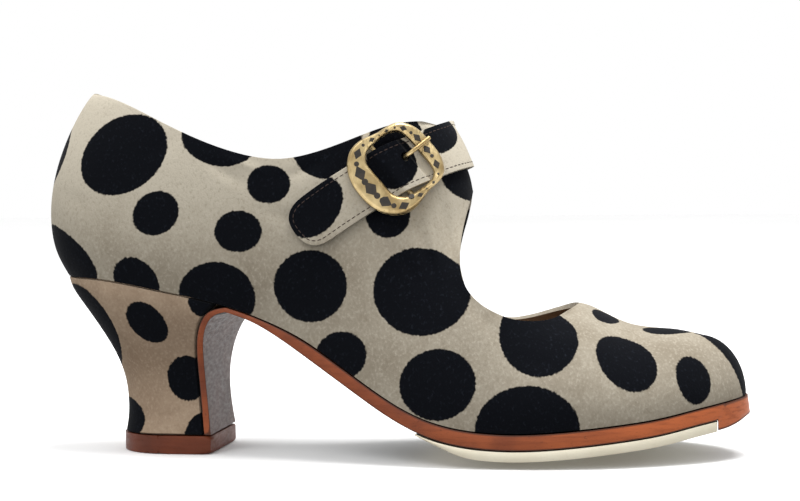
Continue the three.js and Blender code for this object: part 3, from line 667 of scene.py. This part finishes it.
def even_line(line: np.ndarray, pitch: float) -> np.ndarray:
    """Rounds a closed line and divides it into even steps.

    Args:
        line: The line's corners.
        pitch: The step, in metres, met as closely as a whole number allows.

    Returns:
        The points of the even line.
    """
    rows = []
    count = len(line)
    for index in range(count):
        p0, p1, p2, p3 = (line[(index + shift) % count] for shift in (-1, 0, 1, 2))
        for step in range(CURVE_STEPS):
            t = step / CURVE_STEPS
            rows.append(
                0.5 * (2 * p1 + (p2 - p0) * t + (2 * p0 - 5 * p1 + 4 * p2 - p3) * t * t
                       + (3 * p1 - p0 - 3 * p2 + p3) * t**3)
            )
    fine = np.array(rows + rows[:1])
    far = np.concatenate([[0], np.cumsum(np.linalg.norm(np.diff(fine, axis=0), axis=1))])
    number = max(3, round(far[-1] / pitch))
    marks = np.linspace(0, far[-1], number, endpoint=False)
    return np.stack([np.interp(marks, far, fine[:, axis]) for axis in range(3)], 1)


@dataclass(frozen=True)
class Stitching:
    """A row of machine stitches, each a flattened bead."""

    pitch: float = 1.9 * MM
    length: float = 1.45 * MM
    thick: float = 0.34 * MM
    flatness: float = 0.8


def join(name: str, pieces: list[Piece]) -> Piece:
    """Joins several objects into one.

    Args:
        name: The name of the joined piece.
        pieces: The objects.

    Returns:
        The joined piece.
    """
    deselect()
    for piece in pieces:
        piece.select_set(True)
    bpy.context.view_layer.objects.active = pieces[0]
    bpy.ops.object.join()
    joined = bpy.context.object
    joined.name = name
    joined.data.name = name
    return joined


def place_copies(name: str, model: Piece, spots: list[Matrix]) -> Piece:
    """Copies one modelled shape to many places, each copy with its own mesh.

    Args:
        name: The name of the joined piece.
        model: The shape, around the origin; it is used up.
        spots: Where the copies go.

    Returns:
        The joined piece.
    """
    copies = []
    for index, spot in enumerate(spots):
        mesh = model.data.copy()
        mesh.transform(spot)
        copy = bpy.data.objects.new(f"{name}_{index}", mesh)
        bpy.context.scene.collection.objects.link(copy)
        copies.append(copy)
    bpy.data.objects.remove(model)
    return join(name, copies)


def stand(point: Vector, normal: Vector, along: Vector) -> Matrix:
    """Gives the matrix that puts a shape on a surface.

    Args:
        point: Where it stands.
        normal: The surface's normal there.
        along: The direction that its length follows.

    Returns:
        The matrix.
    """
    along = (along - normal * along.dot(normal)).normalized()
    side = normal.cross(along)
    turned = Matrix((along, side, normal)).transposed().to_4x4()
    return Matrix.Translation(point) @ turned


def sew(name: str, carrier: Piece, line: np.ndarray, thread: Stitching) -> Piece:
    """Sews a closed row of stitches onto a piece.

    Args:
        name: The name of the new piece.
        carrier: The piece that is sewn.
        line: The corners of the row.
        thread: The thread and its pitch.

    Returns:
        The stitches, as one piece.
    """
    tree = surface_of(carrier)
    points = even_line(line, thread.pitch)
    deselect()
    bpy.ops.mesh.primitive_uv_sphere_add(segments=6, ring_count=5, radius=0.5)
    model = bpy.context.object
    start_edit("FACE", "SELECT")
    bpy.ops.transform.rotate(value=math.pi / 2, orient_axis="Y", center_override=(0, 0, 0))
    bpy.ops.transform.resize(value=(thread.length, thread.thick, thread.thick * thread.flatness))
    bpy.ops.object.mode_set(mode="OBJECT")
    bpy.ops.object.shade_smooth()
    spots = []
    for index, point in enumerate(points):
        ahead = Vector(points[(index + 1) % len(points)] - points[index - 1])
        place, normal, _, _ = tree.find_nearest(Vector(point))
        spots.append(stand(place, normal, ahead))
    return place_copies(name, model, spots)


# Finishes

class NodeSheet:
    """A material's nodes, added one at a time and wired as they are added."""

    def __init__(self, name: str) -> None:
        """Starts a material with its shader alone."""
        self.material = bpy.data.materials.new(name)
        self.material.use_nodes = True
        self.tree = self.material.node_tree
        self.shader = self.tree.nodes["Principled BSDF"]
        self.object_place = self.tree.nodes.new("ShaderNodeTexCoord").outputs["Object"]

    def set(self, **sockets: float | Colour) -> None:
        """Sets constants on the shader's own sockets, with _ for a blank."""
        for name, value in sockets.items():
            self.shader.inputs[name.replace("_", " ")].default_value = value

    def wire(self, socket: str, source: Socket) -> None:
        """Feeds one of the shader's sockets."""
        self.tree.links.new(source, self.shader.inputs[socket])

    def feed(self, target: Socket, source: float | Colour | Socket) -> None:
        """Links a source into a socket, or sets it if it is a constant.

        Args:
            target: The socket.
            source: What goes into it.
        """
        if isinstance(source, Socket):
            self.tree.links.new(source, target)
        else:
            target.default_value = source

    def along(self, axis: str) -> Socket:
        """Reads the place along one of the shoe's axes.

        Args:
            axis: X, Y or Z.

        Returns:
            The place, in metres.
        """
        node = self.tree.nodes.new("ShaderNodeSeparateXYZ")
        self.tree.links.new(self.object_place, node.inputs["Vector"])
        return node.outputs[axis]

    def attribute(self, name: str) -> Socket:
        """Reads a number that the mesh carries.

        Args:
            name: The number's name.

        Returns:
            The number.
        """
        node = self.tree.nodes.new("ShaderNodeAttribute")
        node.attribute_name = name
        return node.outputs["Fac"]

    def noise(
        self,
        scale: float,
        detail: float = 3.0,
        stretch: tuple[float, float, float] = (1, 1, 1),
        turn: tuple[float, float, float] = (0, 0, 0),
    ) -> Socket:
        """Adds noise over the object's own coordinates.

        Args:
            scale: Features per metre.
            detail: How many finer layers it has.
            stretch: The scale along each axis, on top of that.
            turn: The angles in degrees by which the pattern is turned first.

        Returns:
            The noise, from 0 to 1.
        """
        mapping = self.tree.nodes.new("ShaderNodeMapping")
        mapping.inputs["Scale"].default_value = stretch
        mapping.inputs["Rotation"].default_value = [math.radians(angle) for angle in turn]
        self.tree.links.new(self.object_place, mapping.inputs["Vector"])
        node = self.tree.nodes.new("ShaderNodeTexNoise")
        node.inputs["Scale"].default_value = scale
        node.inputs["Detail"].default_value = detail
        self.tree.links.new(mapping.outputs["Vector"], node.inputs["Vector"])
        return node.outputs["Fac"]

    def math(self, kind: str, one: float | Socket, two: float | Socket) -> Socket:
        """Combines two numbers.

        Args:
            kind: The operation's name.
            one: The first number.
            two: The second.

        Returns:
            The outcome.
        """
        node = self.tree.nodes.new("ShaderNodeMath")
        node.operation = kind
        self.feed(node.inputs[0], one)
        self.feed(node.inputs[1], two)
        return node.outputs["Value"]

    def ramp(
        self, value: Socket, low: float, high: float, out_low: float = 0.0, out_high: float = 1.0
    ) -> Socket:
        """Maps one span of a number smoothly onto another, and holds it outside.

        Args:
            value: The number.
            low: Where its span starts.
            high: Where its span ends.
            out_low: What comes out up to the start.
            out_high: What comes out from the end.

        Returns:
            The number on its new span.
        """
        node = self.tree.nodes.new("ShaderNodeMapRange")
        node.interpolation_type = "SMOOTHSTEP"
        self.feed(node.inputs["Value"], value)
        node.inputs["From Min"].default_value = low
        node.inputs["From Max"].default_value = high
        node.inputs["To Min"].default_value = out_low
        node.inputs["To Max"].default_value = out_high
        return node.outputs["Result"]

    def mix(self, share: float | Socket, one: Colour | Socket, two: Colour | Socket) -> Socket:
        """Mixes two colours.

        Args:
            share: The second colour's share, from 0 to 1.
            one: The first colour.
            two: The second.

        Returns:
            The mixed colour.
        """
        node = self.tree.nodes.new("ShaderNodeMix")
        node.data_type = "RGBA"
        self.feed(node.inputs[0], share)
        self.feed(node.inputs[6], one)
        self.feed(node.inputs[7], two)
        return node.outputs[2]

    def bump(self, height: Socket, distance: float, strength: float) -> None:
        """Raises the surface by a pattern.

        Args:
            height: The pattern.
            distance: Its greatest height, in metres.
            strength: How much of it shows, from 0 to 1.
        """
        node = self.tree.nodes.new("ShaderNodeBump")
        node.inputs["Strength"].default_value = strength
        node.inputs["Distance"].default_value = distance
        self.feed(node.inputs["Height"], height)
        self.wire("Normal", node.outputs["Normal"])


@dataclass(frozen=True)
class PrintedSuede:
    """Sand-coloured suede with near-black printed dots; its patterns count features per metre."""

    name: str = "printed_suede"
    sand: Colour = tone(156, 148, 133)
    shade: Colour = tone(126, 116, 100)
    fibre: Colour = tone(186, 178, 163)
    ink: Colour = tone(9, 11, 16)
    fleck: Colour = tone(34, 38, 46)
    # Painted light: a paler colour that stands in for the light from above on the upper part of the shoe.
    painted_top_light: Colour = tone(214, 206, 188)
    blend_span: tuple[float, float] = (0.055, 0.105)
    fuzz: float = 0.25
    clouds: float = 40
    patches: float = 220
    naps: float = 1150
    grains: float = 2400
    nap_height: float = 0.2 * MM

    def make(self) -> bpy.types.Material:
        """Makes the suede, with painted light that makes it lighter towards its upper edge.

        Returns:
            The material.
        """
        sheet = NodeSheet(self.name)
        cloud = sheet.noise(self.clouds, 2)
        patch = sheet.noise(self.patches, 3)
        nap = sheet.noise(self.naps, 3, (1.0, 1.0, 0.8), (0, 35, 0))
        grain = sheet.noise(self.grains, 2)
        base = sheet.mix(sheet.ramp(cloud, 0.25, 0.6, 0.35, 1), self.shade, self.sand)
        base = sheet.mix(sheet.ramp(patch, 0.4, 0.75, 0, 0.35), base, self.shade)
        # Painted light: blends towards the paler colour with height, as if lit more from above.
        base = sheet.mix(sheet.ramp(sheet.along("Z"), *self.blend_span, 0, 0.55), base, self.painted_top_light)
        base = sheet.mix(sheet.ramp(nap, 0.48, 0.75, 0, 0.45), base, self.fibre)
        base = sheet.mix(sheet.ramp(nap, 0.28, 0.46, 0.3, 0), base, self.shade)
        base = sheet.mix(sheet.ramp(grain, 0.3, 0.48, 0.15, 0), base, self.shade)
        dark = sheet.mix(sheet.ramp(nap, 0.55, 0.8, 0, 0.6), self.ink, self.fleck)
        wobble = sheet.math("MULTIPLY", sheet.math("SUBTRACT", nap, 0.5), self.fuzz * 4)
        edge = sheet.math("ADD", sheet.attribute(PRINT), wobble)
        inside = sheet.ramp(edge, -self.fuzz, self.fuzz, 1, 0)
        sheet.wire("Base Color", sheet.mix(inside, base, dark))
        sheet.set(Roughness=0.95, Specular_IOR_Level=0.05, Sheen_Weight=0.03, Sheen_Roughness=0.5)
        height = sheet.math("ADD", nap, sheet.math("MULTIPLY", grain, 0.5))
        sheet.bump(height, self.nap_height, 0.5)
        return sheet.material


@dataclass(frozen=True)
class StainedLeather:
    """Cut sole leather, stained brown and lightly polished, with dark lines along the top and bottom of its
    edge; the top one is painted shade under the upper.
    """

    name: str = "stained_edge"
    stain: Colour = tone(146, 74, 38)
    pale: Colour = tone(184, 96, 50)
    deep: Colour = tone(104, 48, 24)
    # Dark fibre flecks and dark edge lines; the top edge line is painted shade.
    line: Colour = tone(38, 20, 13)
    lines: bool = True
    blend_span: tuple[float, float] = (0.1, 0.18)
    clouds: float = 60
    layers: float = 900
    fibres: float = 2400
    depth: float = 0.12 * MM

    def make(self) -> bpy.types.Material:
        """Makes the leather, paler towards the toe.

        Returns:
            The material.
        """
        sheet = NodeSheet(self.name)
        cloud = sheet.noise(self.clouds, 3)
        layers = sheet.noise(self.layers, 3, (0.06, 0.3, 1.0))
        fibre = sheet.noise(self.fibres, 2, (0.4, 0.4, 1.0))
        base = sheet.mix(sheet.ramp(cloud, 0.3, 0.72), self.deep, self.stain)
        base = sheet.mix(sheet.ramp(sheet.along("X"), *self.blend_span, 0, 0.75), base, self.pale)
        base = sheet.mix(sheet.ramp(layers, 0.45, 0.7, 0, 0.4), base, self.deep)
        base = sheet.mix(sheet.ramp(fibre, 0.62, 0.75, 0, 0.4), base, self.line)
        # Painted shade: the dark line at the top of the edge stands in for the shade where the upper meets
        # the sole; the bottom line is a dark edge line.
        if self.lines:
            rise = sheet.attribute(RISE)
            dark = sheet.math("MAXIMUM", sheet.ramp(rise, 0.86, 0.97), sheet.ramp(rise, 0.03, 0.1, 1, 0))
            base = sheet.mix(sheet.math("MULTIPLY", dark, 0.8), base, self.line)
        sheet.wire("Base Color", base)
        sheet.wire("Roughness", sheet.ramp(layers, 0.2, 0.8, 0.42, 0.6))
        sheet.set(Specular_IOR_Level=0.25, Coat_Weight=0.05, Coat_Roughness=0.35)
        sheet.bump(sheet.math("ADD", layers, fibre), self.depth, 0.5)
        return sheet.material


@dataclass(frozen=True)
class PlainCoat:
    """A smooth covering of one colour, cloudy and finely grained."""

    name: str
    light: Colour
    dark: Colour
    roughness: float
    cloud: float = 45
    grain: float = 1600
    depth: float = 0.08 * MM
    stretch: tuple[float, float, float] = (1, 1, 1)
    specular: float = 0.4
    spread: float = 0.06

    def make(self) -> bpy.types.Material:
        """Makes the covering.

        Returns:
            The material.
        """
        sheet = NodeSheet(self.name)
        cloud = sheet.noise(self.cloud, 3, self.stretch)
        grain = sheet.noise(self.grain, 3)
        base = sheet.mix(sheet.ramp(cloud, 0.28, 0.72), self.dark, self.light)
        base = sheet.mix(sheet.ramp(grain, 0.5, 0.75, 0, 0.25), base, self.dark)
        sheet.wire("Base Color", base)
        low = self.roughness - self.spread
        high = self.roughness + self.spread
        sheet.wire("Roughness", sheet.ramp(grain, 0.2, 0.8, low, high))
        sheet.set(Specular_IOR_Level=self.specular)
        sheet.bump(grain, self.depth, 0.4)
        return sheet.material


@dataclass(frozen=True)
class AgedBrass:
    """Pale brass with a brown patina in its scratches."""

    name: str = "aged_brass"
    bright: Colour = tone(198, 178, 134)
    worn: Colour = tone(150, 128, 88)
    patina: Colour = tone(72, 56, 36)
    clouds: float = 140
    scratches: float = 1300
    depth: float = 0.06 * MM

    def make(self) -> bpy.types.Material:
        """Makes the brass.

        Returns:
            The material.
        """
        sheet = NodeSheet(self.name)
        cloud = sheet.noise(self.clouds, 4)
        scratch = sheet.noise(self.scratches, 4, (1.0, 0.25, 0.25), (0, 40, 0))
        base = sheet.mix(sheet.ramp(cloud, 0.32, 0.68), self.worn, self.bright)
        base = sheet.mix(sheet.ramp(scratch, 0.6, 0.78, 0, 0.7), base, self.patina)
        sheet.wire("Base Color", base)
        sheet.wire("Roughness", sheet.ramp(scratch, 0.3, 0.75, 0.28, 0.55))
        sheet.set(Metallic=1.0)
        sheet.bump(scratch, self.depth, 0.35)
        return sheet.material


SUEDE = PrintedSuede()
COVER = PrintedSuede(
    name="heel_cover_suede", sand=tone(162, 142, 121), shade=tone(132, 112, 93), fibre=tone(182, 163, 142)
)
LINING = PlainCoat("lining_leather", tone(160, 132, 104), tone(132, 106, 82), 0.7)
SOCK = PlainCoat("sock_leather", tone(122, 101, 79), tone(98, 78, 59), 0.65)
SATIN = PlainCoat(
    "grey_satin", tone(86, 91, 89), tone(74, 79, 77), 0.62, 60, 1900, 0.01 * MM, (1, 1, 0.2), specular=0.05
)
CREAM = PlainCoat("cream_rubber", tone(236, 229, 207), tone(220, 210, 186), 0.6, 50, 1500, 0.05 * MM)
INK_METAL = PlainCoat("ornament_fill", tone(52, 44, 34), tone(30, 26, 20), 0.5, 300)
DARK_THREAD = PlainCoat("dark_thread", tone(60, 43, 35), tone(40, 28, 23), 0.8, 900)
EDGE = StainedLeather()
LIFT = StainedLeather(name="stained_lift", stain=tone(108, 50, 25), deep=tone(84, 37, 18), lines=False)
BRASS = AgedBrass()
TABLE_WHITE = PlainCoat("white_table", tone(252, 252, 252), tone(250, 250, 250), 0.9, 3, 40, 0.0)


# Pieces of the shoe

@dataclass
class Upper:
    """The suede upper with its lining and its folded topline."""

    outside: Vector = field(default_factory=lambda: Vector((0.05, -0.06, 0.06)))
    inside: Vector = field(default_factory=lambda: Vector((0.03, 0.0, 0.075)))
    spread: float = 45
    rounding: Rounding = Rounding(2, 45, 0.72)
    creases: tuple[Crease, ...] = (
        Crease((20, 98), (31, 91), 1.6, 0.8),
        Crease((25, 100), (37, 95), 1.4, -0.5),
        Crease((44, 92), (58, 98), 1.6, 0.5),
        Crease((40, 82), (58, 76), 2.2, 0.6),
        Crease((88, 84), (94, 62), 1.7, 0.9),
        Crease((96, 86), (101, 64), 1.5, 0.8),
        Crease((91, 80), (97, 60), 1.4, -0.6),
        Crease((80, 74), (90, 58), 1.6, 0.5),
        Crease((101, 58), (118, 40), 2.2, 0.3),
        Crease((-34, 88), (-22, 84), 2.0, 0.25),
        Crease((-2, 100), (10, 108), 1.8, 0.25),
        Crease((120, 36), (140, 30), 2.4, 0.25),
        Crease((128, 42), (150, 36), 2.0, -0.2),
        Crease((96, 60), (114, 44), 2.4, 0.35, False),
        Crease((60, 92), (76, 88), 2.0, 0.3, False),
        Crease((118, 38), (140, 32), 2.4, 0.25, False),
    )

    def build(self) -> None:
        """Builds the upper, lines it past its folded edges, creases it and prints its dots."""
        piece = take_copy("upper", "upper_suede", SUEDE.make(), LINING.make())
        outer = flat_region(piece, self.outside, self.spread)
        rest = [face for face in piece.data.polygons if face.index not in outer]
        first = min(rest, key=lambda face: (face.center - self.inside).length)
        inner = flat_region(piece, first.center, self.spread) - outer
        paint_faces(piece, inner, 1)
        LOG.info("upper: %d outer faces, %d lining faces", len(outer), len(inner))
        soften(piece, self.rounding)
        press(piece, self.creases)
        PrintedDots(piece).apply(UPPER_DOTS)
        settle(piece, "suede", "upper")


@dataclass
class Strap:
    """The fastening strap with its edge stitching."""

    outside: Vector = field(default_factory=lambda: Vector((0.06, -0.05, 0.09)))
    spread: float = 58
    rounding: Rounding = Rounding(3, 42, 0.8)
    row_inset: float = 1.7 * MM
    thread: Stitching = Stitching()

    def build(self) -> None:
        """Builds the strap and sews it round."""
        piece = take_copy("strap", "strap_suede", SUEDE.make())
        face = flat_region(piece, self.outside, self.spread)
        lines = border_lines(piece, face, self.row_inset)
        LOG.info("strap: %d top faces, %d borders", len(face), len(lines))
        soften(piece, self.rounding)
        PrintedDots(piece).apply(STRAP_DOTS)
        settle(piece, "suede", "strap")
        row = sew("strap_stitches", piece, max(lines, key=length_of), self.thread)
        row.data.materials.append(DARK_THREAD.make())
        settle(row, "suede")


class MarkKind(Enum):
    """The shapes of the buckle's ornament."""

    LOZENGE = "lozenge"
    PELLET = "pellet"


@dataclass(frozen=True)
class Mark:
    """One mark of the ornament: its kind, its place, the surface's normal there and its size."""

    kind: MarkKind
    place: Vector
    normal: Vector
    size: float


@dataclass
class Buckle:
    """The brass frame with its ornament, and the prong.

    The ring's middle, and the span and the step in which its band is looked for, are pixels of the
    photograph, as is the widest band that still takes a mark. A gap is counted in steps.
    """

    ring_rounding: Rounding = Rounding(3, 40, 0.35)
    tongue_rounding: Rounding = Rounding(2, 40, 0.35)
    mark_height: float = 0.3 * MM
    mark_sink: float = 0.24 * MM
    middle: tuple[float, float] = (399.0, 164.0)
    reach: tuple[float, float] = (12.0, 62.0)
    step: float = 0.5
    gap: float = 1.5
    widest: float = 27.0
    marks: int = 26
    shares: tuple[float, float] = (0.6, 0.27)
    pellet_corners: int = 10
    chamfer: tuple[float, float] = (0.09, 0.12)
    lozenge: tuple[float, float, float] = (1.25, 0.85, 1.0)

    def build(self) -> None:
        """Builds the frame, its marks and the prong."""
        metal = BRASS.make()
        ring = take_copy("buckle_frame", "buckle_ring", metal)
        soften(ring, self.ring_rounding)
        settle(ring, "brass", "buckle_frame")
        self.engrave(ring)
        tongue = take_copy("buckle_prong", "buckle_tongue", metal)
        soften(tongue, self.tongue_rounding)
        settle(tongue, "brass", "buckle_prong")

    def model(self, kind: MarkKind) -> Piece:
        """Models one mark of unit size, with a chamfered top.

        Args:
            kind: Its shape.

        Returns:
            The mark, around the origin.
        """
        deselect()
        corners = 4 if kind is MarkKind.LOZENGE else self.pellet_corners
        bpy.ops.mesh.primitive_cylinder_add(vertices=corners, radius=0.5, depth=1.0)
        mark = bpy.context.object
        top = max(mark.data.polygons, key=lambda face: face.center.z).index
        choose_faces(mark, {top})
        bpy.ops.mesh.inset(thickness=self.chamfer[0], depth=self.chamfer[1])
        bpy.ops.mesh.select_all(action="SELECT")
        if kind is MarkKind.LOZENGE:
            bpy.ops.transform.resize(value=self.lozenge)
        bpy.ops.object.mode_set(mode="OBJECT")
        return mark

    def mark_at(self, tree: BVHTree, angle: float, kind: MarkKind) -> Mark | None:
        """Finds the middle of the ring's band in one direction from the window's middle.

        Args:
            tree: The ring's surface.
            angle: The direction in the picture, in radians.
            kind: The mark that goes there.

        Returns:
            The mark, or None where the band runs on into the centre bar.
        """
        eye = Vector(VIEW.place)
        hits = []
        for far in np.arange(*self.reach, self.step):
            line = VIEW.sight(self.middle[0] + math.cos(angle) * far, self.middle[1] - math.sin(angle) * far)
            place, normal, _, distance = tree.ray_cast(eye, line)
            if place is None:
                continue
            if hits and far - hits[-1][0] > self.gap * self.step:
                hits.clear()
            hits.append((far, place, normal, distance))
        if not hits or hits[-1][0] - hits[0][0] > self.widest:
            return None
        _, place, normal, distance = hits[len(hits) // 2]
        width = (hits[-1][0] - hits[0][0]) * distance / VIEW.focal
        share = self.shares[0] if kind is MarkKind.LOZENGE else self.shares[1]
        return Mark(kind, place, normal, width * share)

    def engrave(self, ring: Piece) -> None:
        """Sets the marks into the ring's face, along its band.

        Args:
            ring: The finished ring.
        """
        tree = surface_of(ring)
        placed = []
        for index in range(self.marks):
            kind = MarkKind.LOZENGE if index % 2 == 0 else MarkKind.PELLET
            mark = self.mark_at(tree, math.tau * index / self.marks, kind)
            if mark is not None:
                placed.append(mark)
        LOG.info("buckle: %d of %d marks", len(placed), self.marks)
        joined = []
        for kind in MarkKind:
            spots = []
            for index, mark in enumerate(placed):
                if mark.kind is not kind:
                    continue
                ahead = placed[(index + 1) % len(placed)].place - placed[index - 1].place
                size = Matrix.Diagonal((mark.size, mark.size, self.mark_height, 1))
                base = mark.place + mark.normal * (self.mark_height / 2 - self.mark_sink)
                spots.append(stand(base, mark.normal, ahead) @ size)
            joined.append(place_copies(f"marks_{kind.value}", self.model(kind), spots))
        marks = join("buckle_ornament", joined)
        marks.data.materials.append(INK_METAL.make())
        settle(marks, "brass")


@dataclass
class Heel:
    """The covered heel and its top piece."""

    cover_rounding: Rounding = Rounding(3, 50, 0.9)
    lift_rounding: Rounding = Rounding(3, 50, 0.75)

    def build(self) -> None:
        """Builds both pieces."""
        cover = take_copy("heel", "heel_cover", COVER.make())
        soften(cover, self.cover_rounding)
        PrintedDots(cover).apply(HEEL_DOTS)
        settle(cover, "suede", "heel")
        lift = take_copy("top_piece", "heel_lift", LIFT.make())
        soften(lift, self.lift_rounding)
        settle(lift, "top_piece_leather", "top_piece")


@dataclass
class Sole:
    """The outsole with its stained edge, the half sole and the sock."""

    top_way: Vector = field(default_factory=lambda: Vector((-0.5, 0.0, 0.85)))
    under_seed: Vector = field(default_factory=lambda: Vector((0.07, 0.0, 0.0)))
    spread: float = 35
    leather_rounding: Rounding = Rounding(2, 40, 0.85)
    layer_rounding: Rounding = Rounding(2, 40, 0.8)

    def build(self) -> None:
        """Builds the three pieces."""
        leather = take_copy("outsole", "outsole_leather", EDGE.make(), SATIN.make())
        under = flat_region(leather, self.under_seed, self.spread)
        LOG.info("outsole: %d faces underneath", len(under))
        paint_faces(leather, under, 1)
        _, normals = points_of(leather)
        write_values(leather, RISE, (normals @ np.array(self.top_way) > 0).astype(float))
        soften(leather, self.leather_rounding)
        settle(leather, "sole_leather", "outsole")
        for node, name, finish, slot in (
            ("half_sole", "half_sole_cream", CREAM, "half_sole_rubber"),
            ("insole", "sock", SOCK, "lining"),
        ):
            piece = take_copy(node, name, finish.make())
            soften(piece, self.layer_rounding)
            settle(piece, slot, node)


@dataclass(frozen=True)
class Lamp:
    """A soft round lamp: its place and width in metres, and its power in watts."""

    name: str
    place: tuple[float, float, float]
    width: float
    power: float

    def hang(self, aim: tuple[float, float, float]) -> None:
        """Adds the lamp to the scene.

        Args:
            aim: The point that it shines at.
        """
        bpy.ops.object.light_add(type="AREA", location=self.place)
        lamp = bpy.context.object
        lamp.name = self.name
        lamp.data.shape = "DISK"
        lamp.data.size = self.width
        lamp.data.energy = self.power
        line = Vector(aim) - Vector(self.place)
        lamp.rotation_euler = line.to_track_quat("-Z", "Y").to_euler()


@dataclass
class Studio:
    """A white table and soft light, most of it from above."""

    table: float = 6.0
    drop: float = 0.2 * MM
    below: float = 0.25
    dims: tuple[float, float] = (-0.3, -0.06)
    aim: tuple[float, float, float] = (0.07, 0.0, 0.05)
    lamps: tuple[Lamp, ...] = (
        Lamp("key", (-0.35, -0.75, 1.05), 0.6, 4.0),
        Lamp("top", (0.3, 0.05, 1.1), 0.7, 13.0),
    )

    def room(self) -> None:
        """Adds a world that is white above the level of the table and dim below it."""
        world = bpy.data.worlds.new("white_room")
        bpy.context.scene.world = world
        world.use_nodes = True
        tree = world.node_tree
        background = tree.nodes["Background"]
        background.inputs["Color"].default_value = (1, 1, 1, 1)
        place = tree.nodes.new("ShaderNodeTexCoord")
        split = tree.nodes.new("ShaderNodeSeparateXYZ")
        level = tree.nodes.new("ShaderNodeMapRange")
        level.inputs["From Min"].default_value = self.dims[0]
        level.inputs["From Max"].default_value = self.dims[1]
        level.inputs["To Min"].default_value = self.below
        level.inputs["To Max"].default_value = 1.0
        tree.links.new(place.outputs["Generated"], split.inputs["Vector"])
        tree.links.new(split.outputs["Z"], level.inputs["Value"])
        tree.links.new(level.outputs["Result"], background.inputs["Strength"])

    def build(self) -> None:
        """Adds the table, the world and the lights."""
        deselect()
        bpy.ops.mesh.primitive_plane_add(size=self.table, location=(0, 0, -self.drop))
        table = bpy.context.object
        table.name = "table"
        table.data.materials.append(TABLE_WHITE.make())
        table.visible_diffuse = False
        self.room()
        for lamp in self.lamps:
            lamp.hang(self.aim)
        bpy.context.scene.view_settings.view_transform = "Standard"


def main() -> None:
    """Builds the shoe and its studio, and logs the face count of each piece of the shoe."""
    VIEW.build()
    Studio().build()
    for part in (Upper(), Strap(), Buckle(), Heel(), Sole()):
        part.build()


if __name__ == "__main__":
    logging.basicConfig(level=logging.INFO, format="%(name)s %(message)s")
    main()
